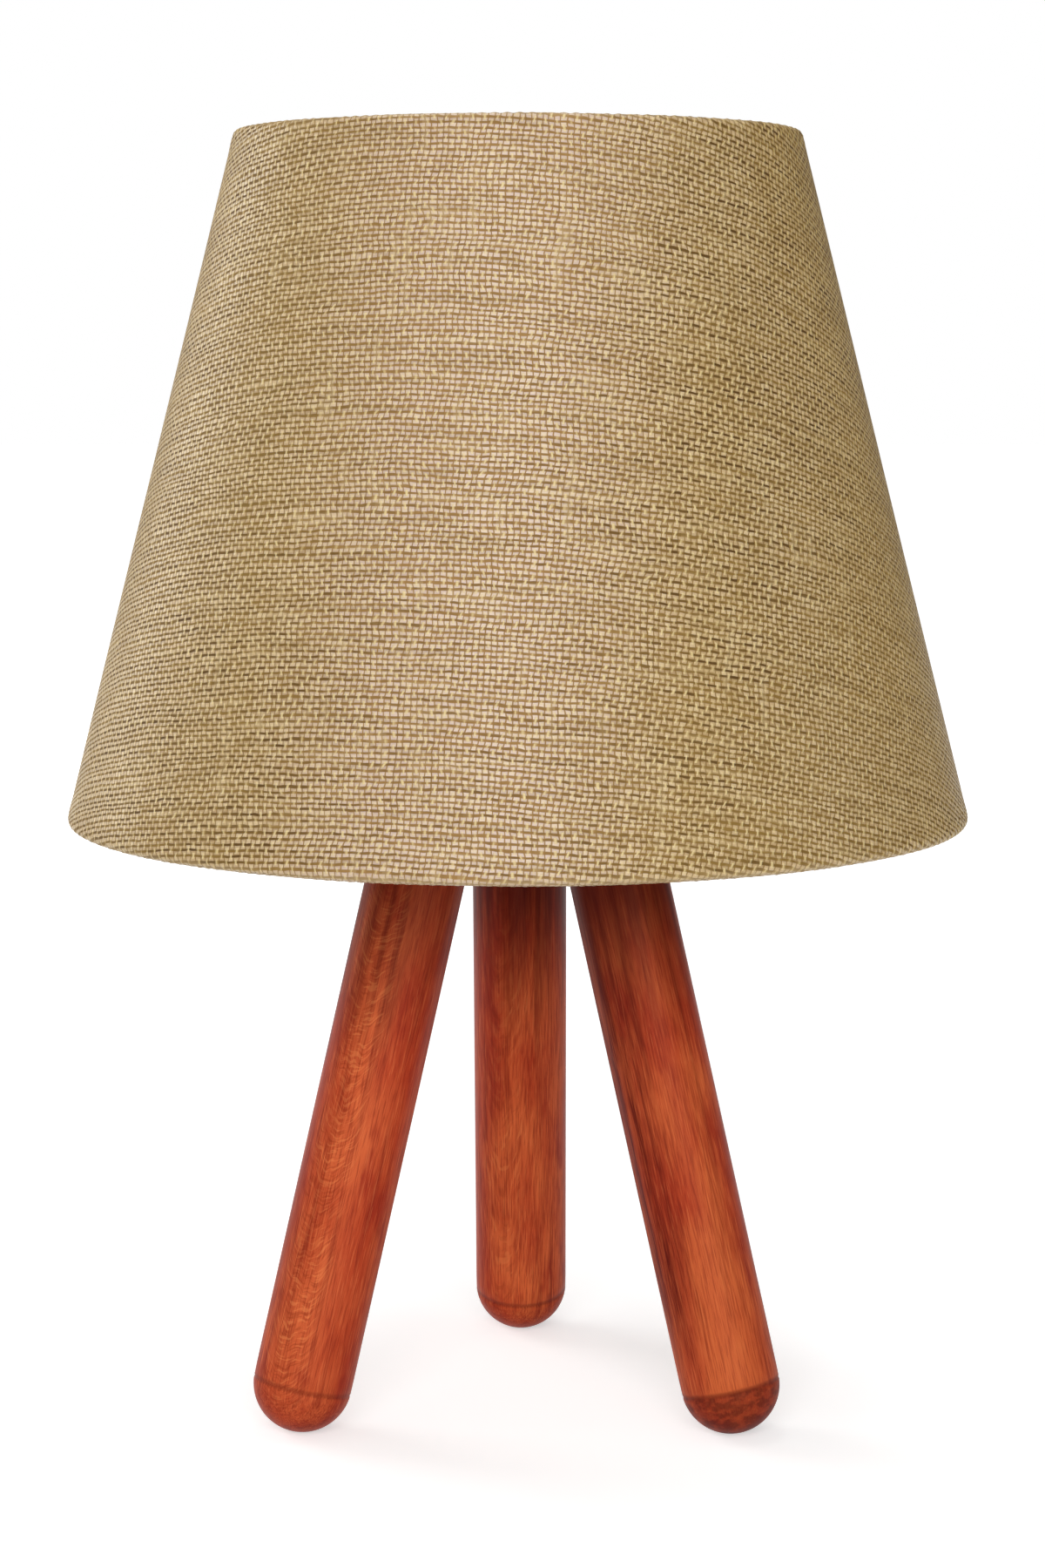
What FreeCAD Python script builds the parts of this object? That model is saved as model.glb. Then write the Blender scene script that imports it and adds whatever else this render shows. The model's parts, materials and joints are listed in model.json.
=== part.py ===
import FreeCAD, Part
import math
import os

# Tripod table lamp: three leaning dowel legs in a turned hub, a threaded
# lampholder with its contacts, a screwed-in bulb, and a lined fabric shade.
# Millimetres, +Z up. The origin is on the table, under the middle of the lamp.
# The front of the lamp faces -Y.

V = FreeCAD.Vector
UP = V(0, 0, 1)

# ---------------------------------------------------------------- fits
SLIDE_FIT = 0.05            # radial play of a shaft, thread or plug in its hole
SEAT_GAP = 0.05             # play between flat faces that turn on each other
GLUE_FILM = 0.1             # glue between shade layers

# ---------------------------------------------------------------- legs
LEG_DIAMETER = 24.0
LEG_LENGTH = 165.0          # from the tip of the foot to the top end
LEG_LEAN = 14.5             # degrees from upright
LEG_NAMES = ("leg_rear", "leg_left", "leg_right")   # evenly round the lamp
LEG_TOP_CIRCLE_RADIUS = 21.7    # where the middles of the top ends stand
FOOT_DOME_HEIGHT = 11.5
FOOT_FLAT_DEPTH = 0.15      # worn flat where a dome meets the table
LEG_TOP_CHAMFER = 1.0

# ---------------------------------------------------------------- hub
HUB_DIAMETER = 86.0
HUB_HEIGHT = 24.0
HUB_TOP_CHAMFER = 5.0
HUB_BOTTOM_CHAMFER = 2.0
SOCKET_DEPTH = 18.0         # how far a leg goes in, along the leg
NUT_RECESS_DIAMETER = 19.0
NUT_RECESS_DEPTH = 8.0

# ---------------------------------------------------------------- leg screws
SCREW_LENGTH = 35.0
SCREW_SHANK_DIAMETER = 4.0
SCREW_HEAD_DIAMETER = 8.0
SCREW_HEAD_HEIGHT = 2.6
SCREW_POINT = 5.0
SCREW_SINK = 1.6            # head below the hub's top, along the screw

# ---------------------------------------------------------------- threaded tube
NIPPLE_DIAMETER = 10.0
NIPPLE_BORE = 7.6
NIPPLE_LENGTH = 31.0
NIPPLE_SET_BACK = 1.5       # lower end above the hub's underside
WASHER_DIAMETER = 18.0
WASHER_THICKNESS = 1.0
NUT_ACROSS_FLATS = 14.0
NUT_HEIGHT = 4.0
BUSHING_BORE = 6.2
BUSHING_LENGTH = 8.0
BUSHING_FLANGE_DIAMETER = 10.6
BUSHING_FLANGE_THICKNESS = 1.2

# ---------------------------------------------------------------- lampholder
CAP_HEIGHT = 28.0
CAP_DIAMETER = 28.0
CAP_WALL = 1.4
CAP_NECK_DIAMETER = 18.0
CAP_NECK_HEIGHT = 5.0
CAP_FLOOR = 8.5             # thickness of the threaded floor
CAP_DOME_HEIGHT = 8.0
CAP_LEDGE_WIDTH = 1.4
LOCK_SCREW_DIAMETER = 3.0
LOCK_SCREW_HEIGHT = 3.2     # above the hub
SKIRT_TAIL_LENGTH = 7.0     # screwed into the cap
COLLAR_DIAMETER = 34.0
COLLAR_HEIGHT = 3.0
SLEEVE_DIAMETER = 28.0      # thread for the shade ring
SLEEVE_HEIGHT = 26.0
SLEEVE_BORE = 21.2
RIM_THICKNESS = 2.6
RIM_OPENING = 18.0
RIM_CHAMFER = 1.0
CARRIER_FLANGE_HEIGHT = 2.5
CARRIER_RISE = 5.0          # carrier top above the cap's rim
WELL_DIAMETER = 9.0
WELL_DEPTH = 7.5
SHELL_BORE = 14.0           # screw shell for the bulb's cap
SHELL_WALL = 0.4
SHELL_HEIGHT = 19.0
SHELL_LIP_OPENING = 11.8
CONTACT_THICKNESS = 0.5
CONTACT_WIDTH = 4.0
CONTACT_BEND = 1.0
CONTACT_OFFSET = 5.5        # strip centre from the lamp's axis
CONTACT_REACH = 2.6         # how far the spring loops past the axis
CONTACT_END = 1.8           # free end of the spring past the axis
CONTACT_DROP = 0.7          # free end below the spring's crown
CONTACT_CROWN = 0.9         # spring's crown above the carrier's top
BLOCK_DEPTH = 4.0
BLOCK_WIDTH = 5.0
BLOCK_HEIGHT = 5.6
WIRE_HOLE_DIAMETER = 2.2
WIRE_HOLE_DROP = 2.0        # below the top of a terminal block
TERMINAL_SCREW_DIAMETER = 2.0
TERMINAL_HEAD_DIAMETER = 3.0
TERMINAL_HEAD_HEIGHT = 1.4
TERMINAL_SCREW_LENGTH = 2.3

# ---------------------------------------------------------------- shade ring
RING_GRIP_DIAMETER = 35.0
RING_GRIP_HEIGHT = 8.0
RING_FLANGE_DIAMETER = 40.0
RING_FLANGE_HEIGHT = 2.0
RING_RIB_WIDTH = 1.8
RING_RIB_HEIGHT = 0.9
RING_RIBS = 20

# ---------------------------------------------------------------- shade
SHADE_BOTTOM_DIAMETER = 220.0
SHADE_TOP_DIAMETER = 138.0
SHADE_HEIGHT = 167.0
SHADE_DROP = 51.6           # lower edge below the fitter ring
FABRIC_THICKNESS = 1.0
LINER_THICKNESS = 0.5
RING_WIRE_DIAMETER = 3.0
FABRIC_TUCK = 7.0           # turned-in edge, past the wire's middle
WIRE_FLATS = 8              # sides of a ring wire's section
FITTER_HOLE = 29.0
FITTER_DIAMETER = 44.0
FITTER_THICKNESS = 1.5
SPOKE_DIAMETER = 2.5
SPOKE_AZIMUTHS = (30.0, 150.0, 270.0)
SPOKE_INNER_GAP = 0.8       # spoke end to the lampholder's collar
SPOKE_SHOULDER = 5.0        # level run past the fitter ring
SPOKE_BEND = 8.0
SPOKE_SLIT = 0.4            # play of a spoke in the turned-in fabric

# ---------------------------------------------------------------- bulb
BULB_LENGTH = 78.0
BULB_DIAMETER = 45.0
BULB_THREAD_DIAMETER = 13.9
BULB_CAP_LENGTH = 25.0
BULB_CAP_WALL = 0.4
BULB_FLANGE_DIAMETER = 17.0
BULB_FLANGE_THICKNESS = 1.0
BULB_NECK_DIAMETER = 12.8
BULB_NECK_AT = 20.5         # above the tip
BULB_FLARE_AT = 21.5
BULB_THREAD_START = 5.0
BULB_THREAD_END = 19.6
TIP_DIAMETER = 4.8
TIP_HEIGHT = 1.2
INSULATOR_DIAMETER = 10.6
INSULATOR_TOP = 3.8
HOUSING_TOP = 47.0          # above the tip
HOUSING_WALL = 1.6
HOUSING_SPIGOT = 8.0        # spigot's lower end above the tip
HOUSING_BULGE = 1.6         # outward curve of the housing's side
GLOBE_WALL = 1.2
BOARD_THICKNESS = 1.5
BOARD_DROP = 3.0            # below the housing's rim
LED_COUNT = 8
LED_SIZE = 3.0
LED_HEIGHT = 0.8
LED_CIRCLE_RADIUS = 11.0
DRIVER_WIDTH = 8.0
DRIVER_THICKNESS = 1.2
DRIVER_BOTTOM = 10.0        # above the tip
CAPACITOR_DIAMETER = 8.0
CAPACITOR_LENGTH = 8.0
CAPACITOR_GAP = 2.0         # below the LED board

# ---------------------------------------------------------------- worked out
LEAN = math.radians(LEG_LEAN)
LEG_RADIUS = LEG_DIAMETER / 2
DOME_RADIUS = (LEG_RADIUS ** 2 + FOOT_DOME_HEIGHT ** 2) / (2 * FOOT_DOME_HEIGHT)
DOME_CENTRE_Z = DOME_RADIUS - FOOT_FLAT_DEPTH
LEG_TOP = LEG_LENGTH - DOME_RADIUS                  # along the leg, from the dome's centre
FOOT_CIRCLE_RADIUS = LEG_TOP_CIRCLE_RADIUS + LEG_TOP * math.sin(LEAN)
LEG_AZIMUTHS = {name: 90 + index * 360 / len(LEG_NAMES) for index, name in enumerate(LEG_NAMES)}
HUB_BOTTOM = DOME_CENTRE_Z + (LEG_TOP - SOCKET_DEPTH) * math.cos(LEAN)
HUB_TOP = HUB_BOTTOM + HUB_HEIGHT
NIPPLE_RADIUS = NIPPLE_DIAMETER / 2
NIPPLE_BOTTOM = HUB_BOTTOM + NIPPLE_SET_BACK
WASHER_BOTTOM = HUB_BOTTOM + NUT_RECESS_DEPTH - WASHER_THICKNESS
CAP_TOP = HUB_TOP + CAP_HEIGHT
CAP_BORE_RADIUS = CAP_DIAMETER / 2 - CAP_WALL
CARRIER_BOTTOM = CAP_TOP - SKIRT_TAIL_LENGTH - CARRIER_FLANGE_HEIGHT
CARRIER_TOP = CAP_TOP + CARRIER_RISE
WELL_FLOOR = CARRIER_TOP - WELL_DEPTH
COLLAR_TOP = CAP_TOP + COLLAR_HEIGHT
HOLDER_RIM = COLLAR_TOP + SLEEVE_HEIGHT
SHELL_RADIUS = SHELL_BORE / 2 + SHELL_WALL
FITTER_BOTTOM = COLLAR_TOP + SEAT_GAP
FITTER_TOP = FITTER_BOTTOM + FITTER_THICKNESS
RING_BOTTOM = FITTER_TOP + SEAT_GAP
BULB_TIP_Z = CARRIER_TOP + CONTACT_CROWN + SEAT_GAP
GLOBE_RADIUS = BULB_DIAMETER / 2
GLOBE_CENTRE = BULB_LENGTH - GLOBE_RADIUS
HOUSING_TOP_RADIUS = math.sqrt(GLOBE_RADIUS ** 2 - (GLOBE_CENTRE - HOUSING_TOP) ** 2)

SHADE_LIFT = FITTER_BOTTOM - SHADE_DROP
WIRE_RADIUS = RING_WIRE_DIAMETER / 2
LINER_INSIDE = WIRE_RADIUS + GLUE_FILM              # from the line between the wire centres
ROLL_INSIDE = LINER_INSIDE + LINER_THICKNESS + GLUE_FILM
ROLL_OUTSIDE = ROLL_INSIDE + FABRIC_THICKNESS
BOTTOM_WIRE = V(SHADE_BOTTOM_DIAMETER / 2 - ROLL_OUTSIDE, 0, SHADE_LIFT + ROLL_OUTSIDE)
TOP_WIRE = V(SHADE_TOP_DIAMETER / 2 - ROLL_OUTSIDE, 0, SHADE_LIFT + SHADE_HEIGHT - ROLL_OUTSIDE)
WALL_UP = (TOP_WIRE - BOTTOM_WIRE).normalize()
WALL_OUT = V(WALL_UP.z, 0, -WALL_UP.x)


# ---------------------------------------------------------------- helpers
def profile(*steps):
    """Closed face in the XZ plane: corners (r, z), and arcs (mid r, mid z, end r, end z)."""
    first = V(steps[0][0], 0, steps[0][1])
    at = first
    edges = []
    for step in steps[1:]:
        end = V(step[-2], 0, step[-1])
        if len(step) == 4:
            middle = V(step[0], 0, step[1])
            edges.append(Part.Arc(at, middle, end).toShape())
        else:
            edges.append(Part.LineSegment(at, end).toShape())
        at = end
    edges.append(Part.LineSegment(at, first).toShape())
    return Part.Face(Part.Wire(edges))


def arc_about(centre_r, centre_z, radius, start, end):
    """Arc step for profile(), about a centre, between two angles in degrees."""
    middle = math.radians((start + end) / 2)
    last = math.radians(end)
    return (centre_r + radius * math.cos(middle), centre_z + radius * math.sin(middle),
            centre_r + radius * math.cos(last), centre_z + radius * math.sin(last))


def bulged(start, end, bulge):
    """Arc step for profile(), from start to end, bowed sideways by the bulge."""
    run = (end[0] - start[0], end[1] - start[1])
    length = math.hypot(*run)
    return ((start[0] + end[0]) / 2 + bulge * run[1] / length,
            (start[1] + end[1]) / 2 - bulge * run[0] / length, end[0], end[1])


def turned(*steps):
    """Solid of revolution about the lamp's axis."""
    return profile(*steps).revolve(V(0, 0, 0), UP, 360)


def tube(outer_radius, inner_radius, bottom, height):
    return turned((inner_radius, bottom), (outer_radius, bottom),
                  (outer_radius, bottom + height), (inner_radius, bottom + height))


def round_block(radius, bottom, height):
    return Part.makeCylinder(radius, height, V(0, 0, bottom), UP)


def box_between(low, high):
    size = high - low
    return Part.makeBox(size.x, size.y, size.z, low)


def rounded_path(points, bend_radius):
    """Straight runs through the points, with tangent arcs at the corners."""
    edges = []
    start = points[0]
    for before, corner, after in zip(points, points[1:], points[2:]):
        back = (before - corner).normalize()
        onward = (after - corner).normalize()
        half_angle = back.getAngle(onward) / 2
        set_back = bend_radius / math.tan(half_angle)
        inward = (back + onward).normalize()
        middle = corner + inward * (bend_radius / math.sin(half_angle) - bend_radius)
        arc_start = corner + back * set_back
        arc_end = corner + onward * set_back
        edges.append(Part.LineSegment(start, arc_start).toShape())
        edges.append(Part.Arc(arc_start, middle, arc_end).toShape())
        start = arc_end
    edges.append(Part.LineSegment(start, points[-1]).toShape())
    return Part.Wire(edges)


def wire_rod(points, bend_radius, diameter):
    path = rounded_path(points, bend_radius)
    section = Part.Wire(Part.makeCircle(diameter / 2, points[0], points[1] - points[0]))
    return path.makePipeShell([section], True, False)


def bent_strip(points, bend_radius, width, thickness):
    """Strip bent in the XZ plane, its middle line through the points, its width along Y."""
    path = rounded_path(points, bend_radius)
    along = (points[1] - points[0]).normalize()
    side = V(along.z, 0, -along.x) * (thickness / 2)
    across = V(0, width / 2, 0)
    corners = [points[0] + side + across, points[0] + side - across,
               points[0] - side - across, points[0] - side + across]
    section = Part.makePolygon(corners + corners[:1])
    return path.makePipeShell([section], True, False)


def around(shape, azimuth):
    """Copy of a shape, turned about the lamp's axis."""
    copy = shape.copy()
    copy.rotate(V(0, 0, 0), UP, azimuth)
    return copy


# ---------------------------------------------------------------- legs and hub
def on_leg(shape, azimuth):
    """Moves a shape from leg space, dome centre at zero and +Z up the leg, to its place."""
    placed = shape.copy()
    placed.rotate(V(0, 0, 0), V(0, 1, 0), -LEG_LEAN)
    placed.translate(V(FOOT_CIRCLE_RADIUS, 0, DOME_CENTRE_Z))
    return around(placed, azimuth)


def leg_screw(fit):
    """Countersunk wood screw in leg space, grown by the fit to make its hole."""
    head = (HUB_TOP - DOME_CENTRE_Z) / math.cos(LEAN) - SCREW_SINK
    head_radius = SCREW_HEAD_DIAMETER / 2 + fit
    shank_radius = SCREW_SHANK_DIAMETER / 2 + fit
    end = head - SCREW_LENGTH - fit
    return turned((0, head), (head_radius, head), (shank_radius, head - SCREW_HEAD_HEIGHT),
                  (shank_radius, end + SCREW_POINT), (0, end))


def screw_hole():
    """Hole for a leg screw, open to the top of the hub."""
    head = (HUB_TOP - DOME_CENTRE_Z) / math.cos(LEAN) - SCREW_SINK
    access = round_block(SCREW_HEAD_DIAMETER / 2 + SLIDE_FIT, head, SCREW_SINK + SCREW_HEAD_DIAMETER)
    return leg_screw(SLIDE_FIT).fuse(access)


def pilot_hole():
    """Hole for a leg screw's shank, down from the top of a leg."""
    head = (HUB_TOP - DOME_CENTRE_Z) / math.cos(LEAN) - SCREW_SINK
    return round_block(SCREW_SHANK_DIAMETER / 2 + SLIDE_FIT, head - SCREW_LENGTH, SCREW_LENGTH)


def make_leg(azimuth):
    rim_angle = -90 + math.degrees(math.asin(LEG_RADIUS / DOME_RADIUS))
    chamfer_start = LEG_TOP - LEG_TOP_CHAMFER
    rod = turned((0, -DOME_RADIUS), arc_about(0, 0, DOME_RADIUS, -90, rim_angle),
                 (LEG_RADIUS, chamfer_start), (LEG_RADIUS - LEG_TOP_CHAMFER, LEG_TOP), (0, LEG_TOP))
    leg = on_leg(rod.cut(pilot_hole()), azimuth)
    reach = FOOT_CIRCLE_RADIUS + LEG_DIAMETER
    table = box_between(V(-reach, -reach, -LEG_DIAMETER), V(reach, reach, 0))
    return leg.cut(table)


def make_hub():
    """Turned disc with three angled blind sockets, a nut recess below and a bore through."""
    outer = HUB_DIAMETER / 2
    bore = NIPPLE_RADIUS + SLIDE_FIT
    recess = NUT_RECESS_DIAMETER / 2
    ceiling = HUB_BOTTOM + NUT_RECESS_DEPTH
    disc = turned((recess, HUB_BOTTOM), (outer - HUB_BOTTOM_CHAMFER, HUB_BOTTOM),
                  (outer, HUB_BOTTOM + HUB_BOTTOM_CHAMFER), (outer, HUB_TOP - HUB_TOP_CHAMFER),
                  (outer - HUB_TOP_CHAMFER, HUB_TOP), (bore, HUB_TOP), (bore, ceiling), (recess, ceiling))
    socket = round_block(LEG_RADIUS + SLIDE_FIT, LEG_TOP - 2 * SOCKET_DEPTH, 2 * SOCKET_DEPTH)
    for azimuth in LEG_AZIMUTHS.values():
        disc = disc.cut(on_leg(socket, azimuth)).cut(on_leg(screw_hole(), azimuth))
    return disc


def make_leg_screws():
    return Part.makeCompound([on_leg(leg_screw(0), azimuth) for azimuth in LEG_AZIMUTHS.values()])


# ---------------------------------------------------------------- threaded tube
def make_nipple():
    return tube(NIPPLE_RADIUS, NIPPLE_BORE / 2, NIPPLE_BOTTOM, NIPPLE_LENGTH)


def make_nipple_washer():
    return tube(WASHER_DIAMETER / 2, NIPPLE_RADIUS + SLIDE_FIT, WASHER_BOTTOM, WASHER_THICKNESS)


def make_nipple_nut():
    corner_radius = NUT_ACROSS_FLATS / 2 / math.cos(math.radians(30))
    bottom = WASHER_BOTTOM - NUT_HEIGHT
    corners = [V(corner_radius, 0, bottom)]
    for turn in range(60, 361, 60):
        angle = math.radians(turn)
        corners.append(V(corner_radius * math.cos(angle), corner_radius * math.sin(angle), bottom))
    hexagon = Part.Face(Part.makePolygon(corners)).extrude(V(0, 0, NUT_HEIGHT))
    return hexagon.cut(round_block(NIPPLE_RADIUS + SLIDE_FIT, bottom, NUT_HEIGHT))


def make_cable_bushing():
    """Smooth plastic mouth for the flex, pushed into the lower end of the tube."""
    flange = BUSHING_FLANGE_DIAMETER / 2
    barrel = NIPPLE_BORE / 2 - SLIDE_FIT
    bore = BUSHING_BORE / 2
    low = NIPPLE_BOTTOM - BUSHING_FLANGE_THICKNESS
    top = NIPPLE_BOTTOM + BUSHING_LENGTH
    return turned((flange, low), (flange, NIPPLE_BOTTOM), (barrel, NIPPLE_BOTTOM), (barrel, top),
                  (bore, top), (bore, low))


# ---------------------------------------------------------------- lampholder
def lock_screw(fit):
    start = V(NIPPLE_RADIUS + SLIDE_FIT - fit, 0, HUB_TOP + LOCK_SCREW_HEIGHT)
    length = CAP_NECK_DIAMETER / 2 - start.x + fit
    return Part.makeCylinder(LOCK_SCREW_DIAMETER / 2 + fit, length, start, V(1, 0, 0))


def make_holder_cap():
    """Domed lower half, threaded on the tube, with a ledge for the contact carrier."""
    neck = CAP_NECK_DIAMETER / 2
    outer = CAP_DIAMETER / 2
    bore = NIPPLE_RADIUS + SLIDE_FIT
    ledge = CAP_BORE_RADIUS - CAP_LEDGE_WIDTH
    dome_base = HUB_TOP + CAP_NECK_HEIGHT
    dome_top = dome_base + CAP_DOME_HEIGHT
    dome = bulged((neck, dome_base), (outer, dome_top), CAP_WALL)
    floor = HUB_TOP + CAP_FLOOR
    cap = turned((bore, HUB_TOP), (neck, HUB_TOP), (neck, dome_base), dome, (outer, CAP_TOP),
                 (CAP_BORE_RADIUS, CAP_TOP), (CAP_BORE_RADIUS, CARRIER_BOTTOM), (ledge, CARRIER_BOTTOM),
                 (ledge, dome_top + CAP_WALL), (neck - CAP_WALL, floor), (bore, floor))
    return cap.cut(lock_screw(SLIDE_FIT))


def make_holder_skirt():
    """Upper half: a tail in the cap, the collar that carries the shade, the threaded sleeve."""
    tail = CAP_BORE_RADIUS - SLIDE_FIT
    collar = COLLAR_DIAMETER / 2
    sleeve = SLEEVE_DIAMETER / 2
    bore = SLEEVE_BORE / 2
    opening = RIM_OPENING / 2
    low = CAP_TOP - SKIRT_TAIL_LENGTH
    rim_low = HOLDER_RIM - RIM_THICKNESS
    bevel = HOLDER_RIM - RIM_CHAMFER
    return turned((bore, low), (tail, low), (tail, CAP_TOP), (collar, CAP_TOP), (collar, COLLAR_TOP),
                  (sleeve, COLLAR_TOP), (sleeve, bevel), (sleeve - RIM_CHAMFER, HOLDER_RIM),
                  (opening, HOLDER_RIM), (opening, rim_low), (bore, rim_low))


def centre_strip(thickness, width):
    """Spring under the bulb's tip: up from its terminal, across the well and back over."""
    level = WELL_FLOOR + CONTACT_THICKNESS / 2
    crown = CARRIER_TOP + CONTACT_CROWN - CONTACT_THICKNESS / 2
    points = [V(-CONTACT_OFFSET, 0, CARRIER_BOTTOM - BLOCK_HEIGHT), V(-CONTACT_OFFSET, 0, level),
              V(CONTACT_REACH, 0, level), V(CONTACT_REACH, 0, crown),
              V(0, 0, crown), V(-CONTACT_END, 0, crown - CONTACT_DROP)]
    return bent_strip(points, CONTACT_BEND, width, thickness)


def side_strip(thickness, width):
    """Strip from its terminal up through the carrier, turned out under the screw shell."""
    level = CARRIER_TOP - CONTACT_THICKNESS / 2
    points = [V(CONTACT_OFFSET, 0, CARRIER_BOTTOM - BLOCK_HEIGHT), V(CONTACT_OFFSET, 0, level),
              V(SHELL_RADIUS, 0, level)]
    return bent_strip(points, CONTACT_BEND, width, thickness)


def make_centre_contact():
    return centre_strip(CONTACT_THICKNESS, CONTACT_WIDTH)


def make_side_contact():
    return side_strip(CONTACT_THICKNESS, CONTACT_WIDTH)


def strip_slots():
    """Low and high corners of the slots that take the two contact strips."""
    half = CONTACT_THICKNESS / 2 + SLIDE_FIT
    side = CONTACT_WIDTH / 2 + SLIDE_FIT
    bend = CONTACT_BEND + CONTACT_THICKNESS
    outer = CONTACT_OFFSET + half
    inner = CONTACT_OFFSET - half
    shelf = CARRIER_TOP - CONTACT_THICKNESS
    return [(V(inner, -side, CARRIER_BOTTOM), V(outer, side, CARRIER_TOP)),
            (V(inner, -side, CARRIER_TOP - bend), V(CONTACT_OFFSET + bend, side, CARRIER_TOP)),
            (V(CONTACT_OFFSET, -side, shelf), V(SHELL_RADIUS + SLIDE_FIT, side, CARRIER_TOP)),
            (V(-outer, -side, CARRIER_BOTTOM), V(-inner, side, WELL_FLOOR)),
            (V(-outer, -side, WELL_FLOOR - bend), V(bend - CONTACT_OFFSET, side, WELL_FLOOR)),
            (V(-outer, -side, WELL_FLOOR), V(0, side, CARRIER_TOP))]


def make_contact_carrier():
    """Insulating block clamped between cap and skirt, with a well and two strip slots."""
    flange = CAP_BORE_RADIUS - SLIDE_FIT
    body = SLEEVE_BORE / 2 - SLIDE_FIT
    seat = CAP_TOP - SKIRT_TAIL_LENGTH
    carrier = turned((0, CARRIER_BOTTOM), (flange, CARRIER_BOTTOM), (flange, seat), (body, seat),
                     (body, CARRIER_TOP), (0, CARRIER_TOP))
    carrier = carrier.cut(round_block(WELL_DIAMETER / 2, WELL_FLOOR, WELL_DEPTH))
    for low, high in strip_slots():
        carrier = carrier.cut(box_between(low, high))
    return carrier


def make_screw_shell():
    """Thin metal sleeve that takes the bulb's thread, with an inturned lip at its foot."""
    lip = SHELL_LIP_OPENING / 2
    inner = SHELL_BORE / 2
    return turned((lip, CARRIER_TOP), (SHELL_RADIUS, CARRIER_TOP), (SHELL_RADIUS, CARRIER_TOP + SHELL_HEIGHT),
                  (inner, CARRIER_TOP + SHELL_HEIGHT), (inner, CARRIER_TOP + SHELL_WALL),
                  (lip, CARRIER_TOP + SHELL_WALL))


def terminal_screw():
    """Clamp screw on the +X side, its head under the terminal block."""
    at = CONTACT_OFFSET + CONTACT_THICKNESS / 2 + BLOCK_DEPTH / 2
    block_low = CARRIER_BOTTOM - BLOCK_HEIGHT
    head = round_block(TERMINAL_HEAD_DIAMETER / 2, block_low - TERMINAL_HEAD_HEIGHT, TERMINAL_HEAD_HEIGHT)
    shank = round_block(TERMINAL_SCREW_DIAMETER / 2, block_low, TERMINAL_SCREW_LENGTH)
    screw = head.fuse(shank)
    screw.translate(V(at, 0, 0))
    return screw


def terminal_block():
    """Brass block on the +X side, with a wire hole and a screw hole."""
    inner = CONTACT_OFFSET + CONTACT_THICKNESS / 2
    middle = inner + BLOCK_DEPTH / 2
    low = CARRIER_BOTTOM - BLOCK_HEIGHT
    side = BLOCK_WIDTH / 2
    block = box_between(V(inner, -side, low), V(inner + BLOCK_DEPTH, side, CARRIER_BOTTOM))
    wire_at = V(middle, -side, CARRIER_BOTTOM - WIRE_HOLE_DROP)
    wire_hole = Part.makeCylinder(WIRE_HOLE_DIAMETER / 2, BLOCK_WIDTH, wire_at, V(0, 1, 0))
    screw_way = Part.makeCylinder(TERMINAL_SCREW_DIAMETER / 2 + SLIDE_FIT, BLOCK_HEIGHT - WIRE_HOLE_DROP,
                                  V(middle, 0, low), UP)
    return block.cut(wire_hole).cut(screw_way)


def make_terminal_blocks():
    return Part.makeCompound([around(terminal_block(), azimuth) for azimuth in (0, 180)])


def make_terminal_screws():
    return Part.makeCompound([around(terminal_screw(), azimuth) for azimuth in (0, 180)])


# ---------------------------------------------------------------- shade
def shade_point(wire, out, up):
    """Corner beside a ring wire: so far out from the shade's wall line, and so far up along it."""
    point = wire + WALL_OUT * out + WALL_UP * up
    return (point.x, point.z)


def fold(wire, radius, level):
    """Corners of the fabric's fold round a ring wire, from the wall side to the inner side.

    Its flats touch a circle about the wire. The middle one is level: 90 faces up, and -90 down.
    """
    wall = math.degrees(math.atan2(WALL_OUT.z, WALL_OUT.x))
    inner = wall + 2 * level
    facings = [wall, (wall + level) / 2, level, (level + inner) / 2, inner]
    corners = []
    for one, other in zip(facings, facings[1:]):
        angle = math.radians((one + other) / 2)
        reach = radius / math.cos(math.radians(other - one) / 2)
        corners.append((wire.x + reach * math.cos(angle), wire.z + reach * math.sin(angle)))
    return corners


def spoke_path():
    """Level under the fitter ring, then straight down to the bottom ring."""
    level = FITTER_BOTTOM - SEAT_GAP - SPOKE_DIAMETER / 2
    start = V(COLLAR_DIAMETER / 2 + SPOKE_INNER_GAP, 0, level)
    bend = V(FITTER_DIAMETER / 2 + SPOKE_SHOULDER, 0, level)
    fall = (BOTTOM_WIRE - bend).normalize()
    end = BOTTOM_WIRE - fall * (WIRE_RADIUS + SLIDE_FIT)
    return [start, bend, end]


def spoke_slit():
    """Notch in the turned-in fabric where a spoke meets the bottom ring."""
    bend, end = spoke_path()[1:]
    fall = (end - bend).normalize()
    start = end - fall * (2 * FABRIC_TUCK)
    return Part.makeCylinder(SPOKE_DIAMETER / 2 + SPOKE_SLIT, 2 * FABRIC_TUCK, start, fall)


def make_shade_fabric():
    """Cone of fabric, rolled over both ring wires and turned in behind them."""
    outer_side = fold(BOTTOM_WIRE, ROLL_OUTSIDE, -90)[::-1] + fold(TOP_WIRE, ROLL_OUTSIDE, 90)
    inner_side = fold(TOP_WIRE, ROLL_INSIDE, 90)[::-1] + fold(BOTTOM_WIRE, ROLL_INSIDE, -90)
    cover = turned(shade_point(BOTTOM_WIRE, -ROLL_OUTSIDE, FABRIC_TUCK), *outer_side,
                   shade_point(TOP_WIRE, -ROLL_OUTSIDE, -FABRIC_TUCK),
                   shade_point(TOP_WIRE, -ROLL_INSIDE, -FABRIC_TUCK), *inner_side,
                   shade_point(BOTTOM_WIRE, -ROLL_INSIDE, FABRIC_TUCK))
    for azimuth in SPOKE_AZIMUTHS:
        cover = cover.cut(around(spoke_slit(), azimuth))
    return cover


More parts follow.
